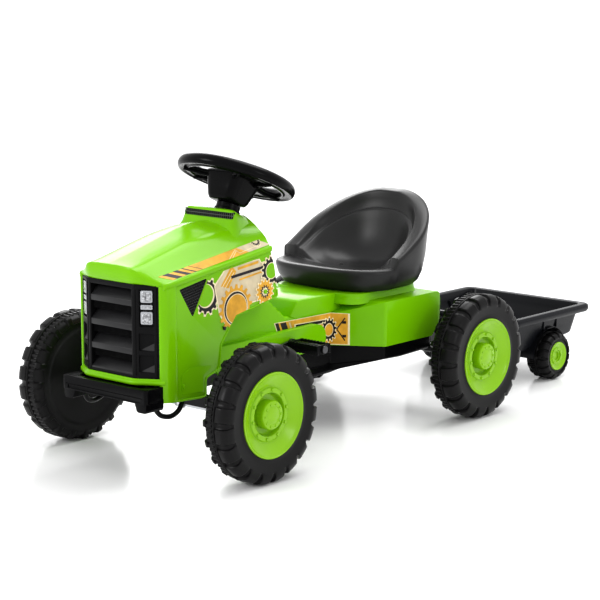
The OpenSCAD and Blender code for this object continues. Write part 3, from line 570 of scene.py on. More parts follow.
def round_line(points, radii, steps=4):
    """An open line with its inner corners rounded. A radius of 0 keeps the corner as one point."""
    out = [Vector(points[0])]
    for a, p, b, radius in zip(points, points[1:], points[2:], radii[1:]):
        a, p, b = Vector(a), Vector(p), Vector(b)
        if not radius:
            out.append(p)
            continue
        start = p + (a - p) * min(0.48, radius / max((a - p).length, 1e-3))
        end = p + (b - p) * min(0.48, radius / max((b - p).length, 1e-3))
        out += bend(start, p, end, steps)
    return out + [Vector(points[-1])]


def roof_section(ridge, crease, top, low, bead_share):
    """Half a cross-section from the bead up to the ridge, as control points with their radii."""
    points = [Vector(low) + bead_share * Vector((dx, 0, dz)) for dx, dz in reversed(BEAD)]
    quarter = Vector(crease) * 0.5 + Vector(ridge) * 0.5 + Vector((0, 0, 0.9 * bead_share))
    points += [Vector(low), Vector(top), Vector(crease), quarter]
    flipped = [Vector((-p.x, p.y, p.z)) for p in points]
    radii = [0] * len(BEAD) + [2, 7, 11, 0]
    return flipped + [Vector(ridge)] + points[::-1], radii + [4] + radii[::-1]


def roof_rows():
    """Rows of points from the inside of the brow, over its edge, and back along the roof."""
    brow = [  # ridge, crease, ledge top and ledge bottom, from the inside to the front of the brow
        ((0, -116, 347), (52, -114, 346), (70, -103, 345), (92, -95, 343)),
        ((0, -127, 342.5), (55, -125, 341.5), (75, -113, 339), (96.5, -101.5, 336)),
        ((0, -131.5, 350), (56, -129.5, 349), (77, -116.5, 344), (99.5, -102.6, 339)),
        ((0, -133.5, 361), (56.5, -131.5, 360), (77.5, -118, 348.5), (100.5, -103, 342))]
    stations = list(zip(*[smooth_path(line, 5) for line in (RIDGE, CREASE, LEDGE_TOP, LEDGE_LOW)]))
    rows, radii = [], []
    for controls, share in [(c, 0.1) for c in brow] + [(c, 1) for c in stations]:
        points, corner_radii = roof_section(*controls, share)
        rows.append(round_line(points, corner_radii))
        radii.append(0)
    radii[1], radii[len(brow)] = 2.5, 6
    columns = [round_line(column, radii) for column in zip(*rows)]
    return [list(row) for row in zip(*columns)]


def plan_arc(points, radius=8, steps=4):
    """An open path in plan with its inner corners rounded."""
    out = [points[0]]
    for a, p, b in zip(points, points[1:], points[2:]):
        p, to_a, to_b = Vector(p), Vector(a) - Vector(p), Vector(b) - Vector(p)
        start, end = p + to_a.normalized() * radius, p + to_b.normalized() * radius
        out += [tuple(q) for q in bend(start, p, end, steps)]
    return out + [points[-1]]


def sweep_plan(path, section):
    """A section of (outwards, z) points carried along an open path in plan."""
    rows = []
    for i, p in enumerate(path):
        a, b = Vector(path[max(i - 1, 0)]), Vector(path[min(i + 1, len(path) - 1)])
        along = (b - a).normalized()
        out = Vector((along.y, -along.x))
        rows.append([(p[0] + out.x * d, p[1] + out.y * d, z) for d, z in section])
    return grid(rows, ring=True, caps=True)


def make_hood():
    hood = thicken(make("hood", Form().add(grid(roof_rows()))), WALL)
    combine(hood, column_bar(HOLE_R, 250, 420))
    # side panels, with the cowl line as their lower edge, and the mesh vent's opening
    side_low = [(-98, 137)] + COWL
    side_top = [(167, 371), (115, 363.5), (60, 356), (0, 348), (-88, 335.5), (-98, 334.5)]
    panel = Form().add_both(prism(side_low + [(184, 304)] + side_top, SIDE - WALL, SIDE, axis=0))
    panels = make("hood_panels", panel)
    vent = [(-66, 331), (3, 343), (-34, 279)]
    combine(panels, Form().add_both(prism(rounded(vent, 2.5), 90, 130, axis=0)))
    join(hood, soften(panels, 1.0, 2, 30))
    rest = Form()
    # cowl: the wall that turns inwards below the panel
    cowl = []
    for y, z in COWL:
        back = -2.2 if y < 40 else 0
        cowl.append([(57.5, y, z), (SIDE - 1, y, z),
                     (SIDE - 1, y + back, z + 2.2), (57.5, y + back, z + 2.2)])
    # front pillars in plan: bead beside the grille, corner, pilaster strip
    pillar = [(94, -98), (94.5, -103.5), (97.5, -107), (101, -106.2), (103.5, -103), (108, -98.5),
              (110, -93), (110.2, -79), (109.4, -75.5), (SIDE, -73), (SIDE - WALL, -73),
              (SIDE - WALL, -90), (100, -98)]
    rest.add_both(prism(pillar, 136.5, 341))
    # lip under the grille, bowed like the front
    bow = plan_arc([(103, -99), (97, -107), (57.5, -131.5), (-57.5, -131.5), (-97, -107),
                    (-103, -99)], 7)
    lip = [(-5, 178.5), (0.3, 179), (1.2, 176.6), (3.6, 175.6), (5.2, 173.4), (5.2, 170.6),
           (3.6, 168.2), (0.4, 167), (-5, 167)]
    rest.add(sweep_plan(bow[::-1], lip))
    # lower front, behind the bumper
    rest.add(prism([(-101, -101), (-101, -105), (101, -105), (101, -101)], 137, 170))
    # dash panel that closes the rear
    half_top = [RIDGE[-1], CREASE[-1], LEDGE_TOP[-1], LEDGE_LOW[-1], (SIDE - 0.5, 170, 368)]
    half_low = [(0, 210, 277), (60, 205, 277), (85, 197, 282), (103, 187, 287),
                (SIDE - 0.5, 184, 290)]
    rows = [[(-x, y, z) for x, y, z in half[:0:-1]] + half for half in (half_top, half_low)]
    shifted = [[(x, y - 3, z - 1) for x, y, z in row] for row in rows]
    rest.add(grid([rows[0], rows[1], shifted[1], shifted[0]], loop=True))
    lower = make("hood_lower", rest)
    soften(lower, 1.1, 2, 30)
    # bright rolled edge along the panel's lower outline
    edge = Form().add_both(grid(cowl, ring=True, caps=True))
    path = [(SIDE - 0.4, y, z) for y, z in [(-88, 137)] + COWL + [(184, 300)]]
    edge.add_both(tube(round_line(path, [0] + [7] * (len(path) - 2) + [0]), 2.0, 10))
    # raised outline near the panel's foot
    plate = [(-64, 146), (-10, 143), (-10, 172), (18, 186), (-44, 190), (-64, 178)]
    edge.add_both(prism(rounded(plate, 5), SIDE - 1, SIDE + 0.7, axis=0))
    rim = make("hood_edge", edge)
    for part in (lower, rim):
        join(hood, part)
    finish_piece(hood, "chassis", green, ["hood_shell"], angle=28)


def join(thing, other):
    """Adds another object's mesh to a thing."""
    work = bmesh.new()
    work.from_mesh(thing.data)
    work.from_mesh(other.data)
    work.to_mesh(thing.data)
    work.free()
    bpy.data.objects.remove(other)
    return thing


def revolve_z(profile, steps=64):
    """A closed solid from (radius, height) points turned round the Z axis."""
    full = [(0, profile[0][1])] + profile + [(0, profile[-1][1])]
    turns = [2 * math.pi * i / steps for i in range(steps)]
    return grid([[(r * math.cos(t), r * math.sin(t), z) for r, z in full] for t in turns],
                loop=True)


steer = joint("steer")
column_foot = Vector(steer["pos_m"]) / MM - Vector((0, front_axle.y, 0))
COLUMN = (Matrix.Translation(column_foot)
          @ Vector((0, 0, 1)).rotation_difference(Vector(steer["axis"])).to_matrix().to_4x4())


def column_bar(radius, low, high):
    """A round bar along the leaning column, which cuts its hole."""
    return Form().add(revolve_z([(radius, low), (radius, high)]), move=COLUMN)


def lattice(corners, cells):
    """Rows of points that split a triangle, for a mesh insert."""
    a, b, c = (Vector(p) for p in corners)
    points, index = [], {}
    for i in range(cells + 1):
        for j in range(cells + 1 - i):
            index[i, j] = len(points)
            points.append(a + (b - a) * (i / cells) + (c - a) * (j / cells))
    faces = []
    for i in range(cells):
        for j in range(cells - i):
            faces.append((index[i, j], index[i + 1, j], index[i, j + 1]))
            if j < cells - i - 1:
                faces.append((index[i + 1, j], index[i + 1, j + 1], index[i, j + 1]))
    return points, faces


def wire(thing, thickness):
    mod = thing.modifiers.new("wire", "WIREFRAME")
    mod.thickness, mod.use_replace = thickness * MM, True
    return settle(thing)


def make_side_vent(name, side):
    corners = [(SIDE - 1.2, -66, 331), (SIDE - 1.2, 3, 343), (SIDE - 1.2, -34, 279)]
    mesh = make(f"side_vent_{name}_mesh", Form().add(lattice(corners, 12), 1, on_side(side)))
    wire(mesh, 1.3)
    back = prism([(-70, 334), (8, 347), (-34, 272)], SIDE - 7, SIDE - 4.5, axis=0)
    join(mesh, make("back", Form().add(back, move=on_side(side))))
    # the wires take the lighter black: painted light on the mesh over its darker back
    finish_piece(mesh, "chassis", [black, louvre], [f"side_vent_{name}"])


def make_scoop():
    """Raised scoop in front of the column, with its mesh."""
    def loop(half, front, rear, z_front, z_rear, r):
        narrow = half * 0.66
        plan = rounded([(-half, front), (half, front), (narrow, rear), (-narrow, rear)], r, 5)
        slope = (z_rear - z_front) / (rear - front)
        return [(x, y, z_front + slope * (y - front)) for x, y in plan]
    rings = [loop(88, 92, 180, 392, 376, 22), loop(80, 101, 180, 405, 400, 20),
             loop(72.5, 110, 180, 418, 414, 16), loop(68, 115, 179, 431, 418, 13),
             loop(65.5, 117.5, 178, 441, 421, 11), loop(61.5, 121, 176, 445.5, 424, 9),
             loop(50, 131, 170, 445.8, 427, 7)]
    scoop = make("scoop", Form().add(grid(rings, ring=True, caps=True)))
    mouth = rounded([(-61, 430), (61, 430), (59, 441.8), (-59, 441.8)], 2)
    combine(scoop, Form().add(prism(mouth, 90, 127, axis=1)))
    combine(scoop, column_bar(HOLE_R, 250, 420))
    soften(scoop, 0.8, 2, 35)
    finish_piece(scoop, "chassis", green, angle=40)
    cells = Form()
    count, step = 24, 5.1
    for i in range(count):
        x = -61.2 + i * step
        cells.add(grid([[(u, 120, z) for z in (429.5, 435.6, 441.8)] for u in (x, x + step)]), 1)
    mesh = make("top_vent_mesh", cells)
    wire(mesh, 1.5)
    join(mesh, make("back", Form().add(block((-61, 122, 429), (61, 124, 442)))))
    # the wires take the grey: painted highlight on the mesh over its black back
    finish_piece(mesh, "chassis", [black, vent_highlight_grey], ["top_vent"])
    profile = [(23, 320), (23, 346), (24.3, 347), (24.3, 362), (22.5, 363), (22.5, 371.5),
               (19, 372.5)]
    collar = Form().add(revolve_z(profile), move=COLUMN)
    screw = revolve([(0, 4.2), (2.2, 4.2), (3, 3.2), (3.2, 0)], 20, ring=False)
    turn = COLUMN @ Matrix.Rotation(math.radians(-50), 4, "Z")
    collar.add(screw, move=turn @ Matrix.Translation((22.6, 0, 366)))
    finish_piece(make("column_collar_cover", collar), "chassis", black,
                 ["column_collar"])


# ---------- grille, lamps, bumper ----------

FACET = Matrix.Translation((78, -115.6, 0)) @ Matrix.Rotation(math.atan2(22.5, 37.5), 4, "Z")


def make_grille():
    form = Form()
    front = [(96.5, -104), (57.5, -127.5), (-57.5, -127.5), (-96.5, -104)]
    back = [(-96.5, -98), (-58, -108), (58, -108), (96.5, -98)]
    form.add(prism(front + back, 334, 343)).add(prism(front + back, 174, 184))
    form.add(prism([(96.5, -92), (58, -104), (-58, -104), (-96.5, -92), (-96.5, -88),
                    (96.5, -88)], 174, 343))
    for post in ([(97, -103.5), (91, -107.6), (91, -98), (97, -96)],
                 [(60, -126), (55, -128), (51, -127.5), (51, -108), (60, -108)]):
        form.add_both(prism(post, 176, 341))
    frame_part = soften(make("grille_frame", form), 1.2, 2, 30)
    # louvre blades: a slanted face, a front edge and a dark gap with comb ribs
    pitch, blades = 42.5, Form()
    for k in range(4):
        top = 331 - k * pitch
        section = [(-110, top), (-124.5, top - 15), (-127, top - 17), (-127, top - 27),
                   (-122, top - 27), (-108, top - 8)]
        # the blades take the lighter black: painted light on them against the darker ribs and frame
        blades.add(prism(section, -54, 54, axis=0), 1)
        for i in range(34):
            x = -50 + i * 3
            blades.add(block((x, -121, top - 41.5), (x + 1.2, -109, top - 24)))
    blade_part = soften(make("grille_blades", blades), 0.8, 2, 30)
    # slanted side facets with the lamp pocket and two stepped pockets
    facets = Form().add_both(block((-20, -1, 176), (17, 7, 341)), move=FACET)
    facet_part = make("grille_facets", facets)
    cuts, wedges = Form(), Form()
    cuts.add_both(prism(rounded(oblong(-14, 12.5, 270, 336), 3), -4, 3, axis=1), move=FACET)
    for z in (228, 190):
        cuts.add_both(prism(rounded(oblong(-15, 12, z, z + 30), 2), -4, 4, axis=1), move=FACET)
        wedge = ([(-14, 4, z), (12, 4, z), (12, -0.6, z), (12, 4, z + 13)],
                 [(0, 2, 1), (0, 3, 2), (1, 2, 3), (0, 1, 3)])
        wedges.add_both(wedge, 1, FACET)
    combine(facet_part, cuts)
    soften(facet_part, 0.7, 2, 40)
    wedge_part = make("grille_wedges", wedges)
    for part in (blade_part, facet_part, wedge_part):
        join(frame_part, part)
    finish_piece(frame_part, "chassis", [matt_black, louvre], ["front_grille"])


def make_lamp(name, side):
    form = Form()
    for low, high, frame_r, core_r in ((274, 296, 3.2, 1.6), (300, 308, 1.5, 0.6),
                                       (312, 333, 3.2, 1.6)):
        lens = rounded(oblong(-11.5, 9.5, low, high), frame_r, 5)
        form.add(prism(lens, -0.8, 3.2, axis=1))
        core = rounded(oblong(-8.7, 6.7, low + 2.6, high - 2.6), core_r, 4)
        form.add(prism(core, -1.5, 1, axis=1), 1)
    lamp = make(f"headlamp_{name}_lens", form, FRONT @ on_side(side) @ FACET)
    soften(lamp, 0.6, 2, 40)
    finish_piece(lamp, "chassis", [silver_plain, silver], [f"headlamp_{name}"])


def make_bumper():
    outline = [(-103, -149), (103, -149), (106, -144), (102, -96), (88, -90), (84, -109),
               (-84, -109), (-88, -90), (-102, -96), (-106, -144)]
    bumper = make("bumper", Form().add(prism(rounded(outline, 3, 3), 141, 166)))
    grooves = Form()
    for low, high in (((-97, -152, 151.2), (97, -147.6, 152.8)),
                      ((-92, -152, 143.5), (92, -146.8, 149.5)),
                      ((-80, -136, 158), (80, -113, 170))):
        grooves.add(block(low, high))
    combine(bumper, grooves)
    foot = rounded([(74, 145), (80, 127), (84, 125), (101, 125), (103.5, 130), (104, 145)], 2, 3)
    join(bumper, make("feet", Form().add_both(prism(foot, -146.5, -104, axis=1))))
    soften(bumper, 0.9, 3, 30)
    finish_piece(bumper, "chassis", black, ["front_bumper"])
    path = smooth_path([(88, -112, 138), (90, -108, 122), (93, -98, 112), (97, -80, 109),
                        (96, -60, 116), (92, -46, 132), (84, -40, 146)])
    stays = make("bumper_stay_bars", Form().add_both(tube(path, 4.6, 14)))
    finish_piece(stays, "chassis", paint, ["bumper_stays"])


# ---------- body, tray ----------

def make_body():
    tunnel = [(28, 157), (34, 240), (60, 276), (205, 276), (262, 231), (330, 225), (470, 226),
              (470, 157)]
    body = soften(make("body_moulding", Form().add(prism(tunnel, -60, 60, axis=0))), 5, 4, 20)
    deck = [(384, 157), (384, 215), (449, 244), (615, 244), (641, 217), (613, 176), (597, 157)]
    plan = [(s * x, y) for s, half in ((1, 1), (-1, -1))
            for x, y in [(50, 385.7), (150, 449), (150, 620), (136, 641)][::half]]
    part = make("deck", Form().add(prism(rounded(deck, 7, 3), -170, 170, axis=0)))
    combine(part, Form().add(prism(rounded(plan, 10, 4), 100, 300)), "INTERSECT")
    soften(part, 5, 4, 32)
    join(body, part)
    # crank housing bulge with a rounded rear end
    bulge = [(60, 157), (60, 205), (330, 208.5)] + arc(334, 181, 27, 85, -62, 10) + [(348, 157)]
    part = make("bulge", Form().add(prism(bulge, -75, 75, axis=0)))
    join(body, soften(part, 4, 4, 25))
    # pedestal and its front step
    seat_low = span("seat")[0].z
    mid = middle("seat").y - front_axle.y - 28
    steps = Form()
    ped = rounded(oblong(-108, 108, mid - 104, mid + 108), 44, 8)
    steps.add(grid([[(x * wide, mid + (y - mid) * deep, z) for x, y in ped] for wide, deep, z in
                    ((1.06, 1.05, 238), (1.02, 1.015, 246), (1, 1, 250), (1, 1, seat_low))],
                   ring=True, caps=True))
    front = [(272, 229), (292, 255), (300, seat_low), (420, seat_low), (440, 236), (440, 222),
             (290, 222)]
    steps.add(prism(front, -62, 62, axis=0))
    join(body, soften(make("steps", steps), 3.5, 3, 25))
    # ribs across the slope of the tunnel
    ribs = Form()
    for k in range(3):
        y = 226 + k * 13
        z = 276 - (y - 205) * 45 / 57
        rib = [(y - 4, z - 2), (y - 1, z + 4.5), (y + 5, z + 0.5), (y + 4, z - 8)]
        ribs.add(prism(rounded(rib, 1.5, 3), -53, 53, axis=0))
    join(body, soften(make("ribs", ribs), 1.2, 2, 30))
    # holes for the crank and for the steering column
    crank_y, crank_z = Vector(joint("crank_spin")["pos_m"]).yz / MM
    hole = revolve([(-90, 0), (-90, 16), (90, 16), (90, 0)], 32, ring=False)
    move = Matrix.Translation((0, crank_y - front_axle.y, crank_z))
    combine(body, Form().add(hole, move=move))
    combine(body, column_bar(30, 20, 330))
    finish_piece(body, "chassis", green, ["body_shell"], angle=28)


def make_tray():
    """Black under-tray: a band that follows the waist, and a keel below it."""
    def section(y, half, low, keel_half, keel):
        right = [(half, 157), (half, low + 4), (half - 3, low), (keel_half + 6, keel + 8),
                 (keel_half, keel)]
        return [(x, y, z) for x, z in right] + [(-x, y, z) for x, z in right[::-1]]
    rows = [section(*line) for line in (
        (190, 57, 132, 44, 112), (230, 58, 124, 54, 104), (300, 58, 118, 57, 100),
        (392, 60, 118, 58, 102), (449, 147, 131, 60, 108), (500, 148, 129, 62, 112),
        (590, 147, 131, 70, 120), (599, 145, 138, 72, 128))]
    tray = make("under_tray", Form().add(grid(rows, ring=True, caps=True)))
    soften(tray, 2.2, 3, 12)
    # slot in the keel over the chain's side, and a straight front end
    cuts = Form()
    cuts.add(block((-46, 186, 90), (-6, 640, 134))).add(block((-50, 150, 60), (50, 186, 200)))
    combine(tray, cuts)
    holes = Form()
    for y in (425, 560):
        holes.add(block((72, y, 100), (79, y + 7, 140)))
    combine(tray, holes)
    finish_piece(tray, "chassis", black, ["chassis_tray"], angle=25)


# ---------- seat ----------

def seat_outline(turn, half, reach):
    """Squarish at the front, round at the back."""
    c, s = math.cos(turn), math.sin(turn)
    power = 2.15 + 0.85 * ease(0.5 + c)
    scale = (abs(s) ** power + abs(c) ** power) ** (-1 / power)
    return half * s * scale, -reach * c * scale


def make_seat():
    low, high = span("seat")
    half, reach = (high.x - low.x) / 2, (high.y - low.y) / 2
    cy = (low.y + high.y) / 2 - front_axle.y
    base, top, lip = low.z, high.z, 303
    step = cy - 52                      # where the raised rim starts
    steps = 200

    def rim_height(y):
        climb = min(max((y - step) / (reach + 50), 0), 1)
        return lip + 17 * ease((y - step) / 9) + (top - lip - 17) * climb ** 1.15

    def ring(front_inset, front_z, back_inset, back_z):
        """A loop whose inset and height change from the front lip to the top of the back."""
        out = []
        for i in range(steps):
            ox, oy = seat_outline(2 * math.pi * i / steps, half, reach)
            rise = (rim_height(cy + oy) - lip) / (top - lip)
            raised = ease((cy + oy - step) / 8)
            inset = front_inset + (back_inset - front_inset) * rise
            if front_inset < 20:
                inset += 4.5 * (1 - raised)
            k = max(1 - inset / math.hypot(ox, oy), 0.001)
            out.append((ox * k, cy + oy * k, front_z + (back_z - front_z) * rise))
        return out

    pan = base + 26
    rings = [ring(*line) for line in (
        (60, base + 1, 64, base + 1), (34, base, 40, base), (20, base + 2, 32, base + 3),
        (11, base + 8, 24, base + 12), (5, base + 17, 16, base + 32),
        (2, base + 27, 8, base + 75), (0.8, lip - 13, 3, top - 40), (0, lip - 9, 0.4, top - 14),
        (0.2, lip - 6, 0, top - 7), (1.6, lip - 2.6, 1.4, top - 3),
        (4.5, lip - 0.7, 4.2, top - 0.7), (9, lip, 9, top), (14, lip + 0.1, 17, top - 0.6),
        (20, lip - 0.3, 24, top - 2.2), (24, lip - 0.9, 27.5, top - 3.4),
        (26, lip - 1.2, 28.8, top - 4.6), (27.5, lip - 1.5, 29.6, top - 8),
        (29, lip - 1.8, 31, top - 20), (31, lip - 2.2, 32.5, top - 34),
        (33.5, lip - 2.8, 34.5, top - 38.5), (36.5, lip - 3.4, 38.5, top - 39),
        (38.5, lip - 3.9, 40.5, top - 40.2), (40.5, lip - 4.4, 42, top - 44),
        (46, lip - 5.8, 46, top - 62), (54, lip - 8, 52, top - 88), (66, lip - 11, 62, top - 114),
        (80, lip - 13.8, 76, top - 134), (96, lip - 16, 94, top - 145),
        (112, pan + 0.6, 112, pan + 2), (130, pan, 130, pan))]
    seat = make("bucket_seat", Form().add(grid(rings, ring=True, caps=True)))
    combine(seat, Form().add(revolve_at((-42, cy + 10, 0), [(4, pan - 20), (4, pan + 30)])))
    finish_piece(seat, "chassis", seat_black, ["seat"], angle=40)


def revolve_at(centre, profile):
    points, faces = revolve_z(profile, 24)
    return [Vector(p) + Vector(centre) for p in points], faces


# ---------- steering wheel ----------

def make_steering_wheel():
    hub = 418                           # height of the wheel's middle along the column
    ring_r, grip = 98.5, 13.5
    place = FRONT @ COLUMN @ Matrix.Translation((0, 0, hub))
    around, across, rows = 128, 24, []
    for i in range(around):
        turn = 2 * math.pi * i / around
        row = []
        for k in range(across):
            a = 2 * math.pi * k / across
            out, up = math.cos(a) * grip, math.sin(a) * grip
            if up < -grip * 0.55:       # flat underside with a shallow channel
                up = -grip * 0.55 - 2.4 * ease((abs(out) - 3.0) / 4) + 0.6
            r = ring_r + out
            row.append((r * math.cos(turn), r * math.sin(turn), 6 + up))
        rows.append(row)
    rim = make("steering_rim", Form().add(grid(rows, ring=True, loop=True)), place)

    def pad(half, length, z, r, shift=-6):
        return [(x, y + shift, z) for x, y in rounded(oblong(-half, half, -length, length), r, 6)]
    pod = Form().add(grid([pad(*line) for line in (
        (24, 22, -45, 14), (29, 27, -44, 16), (32.5, 30, -38, 18), (37, 34, -22, 20),
        (42, 38, -4, 22), (45, 41, 3, 23), (43, 39, 8, 22), (34, 30, 10.5, 17),
        (18, 16, 11.5, 10))], ring=True, caps=True))
    # three flat spokes that widen towards the rim, each with a raised edge
    for angle in (90, 205, 335):
        turn = Matrix.Rotation(math.radians(angle), 4, "Z")
        spoke = [(30, -30), (60, -26), (95, -38), (99, -32), (100, 0), (99, 32), (95, 38),
                 (60, 26), (30, 30)]
        pod.add(prism(rounded(spoke, 6, 4), -1, 5), move=turn)
        for s in (1, -1):
            pod.add(prism([(32, s * 24), (60, s * 20.5), (93, s * 31), (93, s * 34), (60, s * 23.5),
                           (32, s * 27)], -7, 0), move=turn)
    hub_part = soften(make("steering_pod", pod, place), 1.6, 3, 30)
    finish_piece(join(rim, hub_part), "steering", black,
                 ["steering_wheel"], angle=32)


# ---------- pedals ----------

def make_pedal(name, side):
    low, high = span(f"pedal_{name}")
    mid = (low + high) / 2
    length, width, height = high.x - low.x, high.y - low.y, high.z - low.z
    place = Matrix.Scale(MM, 4) @ Matrix.Translation(mid) @ on_side(side)
    a, b, h = length / 2, width / 2, height / 2
    form = Form()
    for s in (1, -1):
        form.add(prism(rounded(oblong(-a, a, s * b, s * (b - 5)), 1.5, 3), -h, h))
    for i in range(7):
        x = -a + 3 + i * (length - 6) / 6
        tall = h if i in (0, 6) else h - 2.2
        form.add(block((x - 2.2, -b + 2, -tall), (x + 2.2, b - 2, tall)))
    form.add(revolve([(-a, 5.3), (a, 5.3), (a, 8), (-a, 8)], 32))
    for s in (1, -1):
        for i in range(9):
            x = -a + 6 + i * (length - 12) / 8
            form.add(block((x - 1.4, s * (b - 4.6), -h - 1), (x + 1.4, s * (b - 0.6), h + 1)))
    pedal = soften(make(f"pedal_{name}_block", form, place), 0.6, 2, 35)
    finish_piece(pedal, f"{name}_pedal", black, [f"pedal_{name}"])


# ---------- trailer ----------

def make_tub():
    low, high = span("trailer_tub")
    half, front, rear = high.x, low.y - front_axle.y, high.y - front_axle.y
    top, mid = high.z, (low.y + high.y) / 2 - front_axle.y
    reach = (rear - front) / 2

    def ring(inset, z, r, skew=0.0, rise=0.0):
        """A rounded rectangle; rise lifts its rear end."""
        a, b = half - inset, reach - inset * 0.8
        plan = rounded(oblong(-a, a, -b, b), r, 7)
        return [(x, mid + y + skew, z + rise * (y + b) / (2 * b)) for x, y in plan]
    floor = 97
    rings = [ring(*line) for line in (
        (44, 66, 14, -8, 20), (32, 64, 18, -7, 20), (28, 68, 20, -6, 20), (24, 100, 22, -3, 8),
        (21, 126, 22), (20, 130, 22), (8, 130.5, 22), (3, 132, 22), (0.4, 136, 22), (0, 141, 22),
        (1.0, 145.5, 21), (4, 148.4, 20), (8, top, 19), (15, top - 0.4, 17), (19, top - 2.5, 15),
        (21, top - 7, 14), (23, top - 18, 13), (31, floor + 8, 10, -2), (35, floor + 2, 9, -2),
        (40, floor, 8, -2))]
    tub = make("trailer_tub_moulding", Form().add(grid(rings, ring=True, caps=True)))
    y = trailer_axle.y - front_axle.y
    arch = [(y - 60, 30)] + arc(y, 51, 60, 180, 0, 24) + [(y + 60, 30)]
    # wheel housings stand inside the tub, and the wells are cut into them from below
    housing = [((a - y) * 1.05 + y, min(b, 112)) for a, b in arch[1:-1]]
    combine(tub, Form().add_both(prism(housing, 107, 149, axis=0)), "UNION")
    combine(tub, Form().add_both(prism([(a, min(b, 109)) for a, b in arch], 110, 200, axis=0)))
    combine(tub, Form().add(block((-18, front - 5, 50), (18, front + 70, 93))))
    combine(tub, Form().add(block((-95, front + 60, 40), (95, rear - 70, 92))))
    extra = Form().add_both(block((98, y - 14, 40), (106, y + 14, 96)))
    for dy in (-22, 26):
        extra.add_both(block((138, y + dy - 2, 108), (147.5, y + dy + 2, 131)))
    join(tub, soften(make("ribs", extra), 1, 2, 30))
    finish_piece(tub, "trailer", black_tub, ["trailer_tub"], angle=34)


# ---------- printed decals ----------

def gear(cx, cy, outer, inner, teeth, phase=0.0):
    """Outline of a gear with square teeth."""
    out = []
    for i in range(teeth):
        for t, r in ((0.05, inner), (0.20, outer), (0.50, outer), (0.65, inner)):
            a = 2 * math.pi * (i + t + phase) / teeth
            out.append((cx + r * math.cos(a), cy + r * math.sin(a)))
    return out


def circle(cx, cy, r, steps=40):
    return arc(cx, cy, r, 0, 360 - 360 / steps, steps - 1)


def bar(a, b, width):
    """A thin straight bar between two points of a plane."""
    a, b = Vector(a), Vector(b)
    side = (b - a).orthogonal().normalized() * width / 2
    return [tuple(a + side), tuple(b + side), tuple(b - side), tuple(a - side)]


def layered(layers, base, step, move):
    """Prints outlines (y, z) on a plane x = base, each layer a little prouder than the last."""
    form = Form()
    for level, (mark, outline) in enumerate(layers):
        form.add(prism(outline, base - 0.3, base + 0.12 + step * level, axis=0), mark, move)
    return form


def side_print():
    """Gears, a house-shaped arrow and a bar on the hood's side."""
    body = [(22, 326), (64, 366), (70, 357), (74, 356), (136, 360), (141, 353), (168, 356),
            (172, 318), (160, 290), (110, 285), (60, 262), (50, 255), (34, 276)]
    big, dark, rear, small = (74, 280), (2, 310), (168, 336), (150, 300)
    return [
        (CREAM, gear(*dark, 35, 29, 13)), (INK, gear(*dark, 31, 26, 13)),
        (CREAM, circle(-1, 312, 21.5)), (GREEN, circle(-3, 313, 20)),
        (CREAM, [(y + (-2.5 if y < 90 else 1.5), z + (1.5 if z > 320 else -2)) for y, z in body]),
        (PEACH, body),
        (ORANGE, [(64, 358), (36, 324), (56, 318), (76, 346)]),
        (CREAM, bar((40, 322), (66, 350), 1.4)), (CREAM, bar((47, 319), (70, 345), 1.2)),
        (ORANGE, bar((80, 350), (134, 356), 4.5)), (ORANGE, bar((84, 330), (150, 338), 3.2)),
        (INK, bar((63, 337), (158, 346), 5)),
        (ORANGE, gear(*big, 43, 36, 18)), (CREAM, circle(*big, 31.5)), (INK, circle(*big, 30)),
        (CREAM, circle(75.5, 278.5, 27.6)), (ORANGE, circle(75.5, 278.5, 26.2)),
        (CREAM, gear(*rear, 29, 24, 14, 0.3)), (INK, gear(*rear, 26, 21, 14, 0.3)),
        (CREAM, circle(*rear, 15.5)), (GREEN, circle(*rear, 14)),
        (CREAM, gear(*small, 25, 20.5, 14)), (ORANGE, gear(*small, 22.5, 18, 14)),
        (INK, gear(*small, 12.5, 9.5, 12)), (CREAM, gear(*small, 8.5, 6.5, 10)),
        (INK, [(40, 252), (48, 250), (46, 244), (42, 246)]),
    ]


def make_side_print(name, side):
    decal = make(f"side_print_{name}", layered(side_print(), SIDE, 0.09, on_side(side)))
    window = COWL[2:] + [(185, 304), (180, 320), (176, 342), (169, 366), (60, 353), (-88, 332),
                         (-88, 200)]
    keep = [(y + 1.2 if z < 270 else y, z + 1.5 if z < 300 else z) for y, z in window]
    vent = [(-70, 334), (8, 347), (-34, 273)]
    for outline, how in ((keep, "INTERSECT"), (vent, "DIFFERENCE")):
        part = prism(outline, SIDE - 2, SIDE + 6, axis=0)
        combine(decal, Form().add(part, move=on_side(side)), how)
    finish_piece(decal, "chassis", PRINT, angle=20)


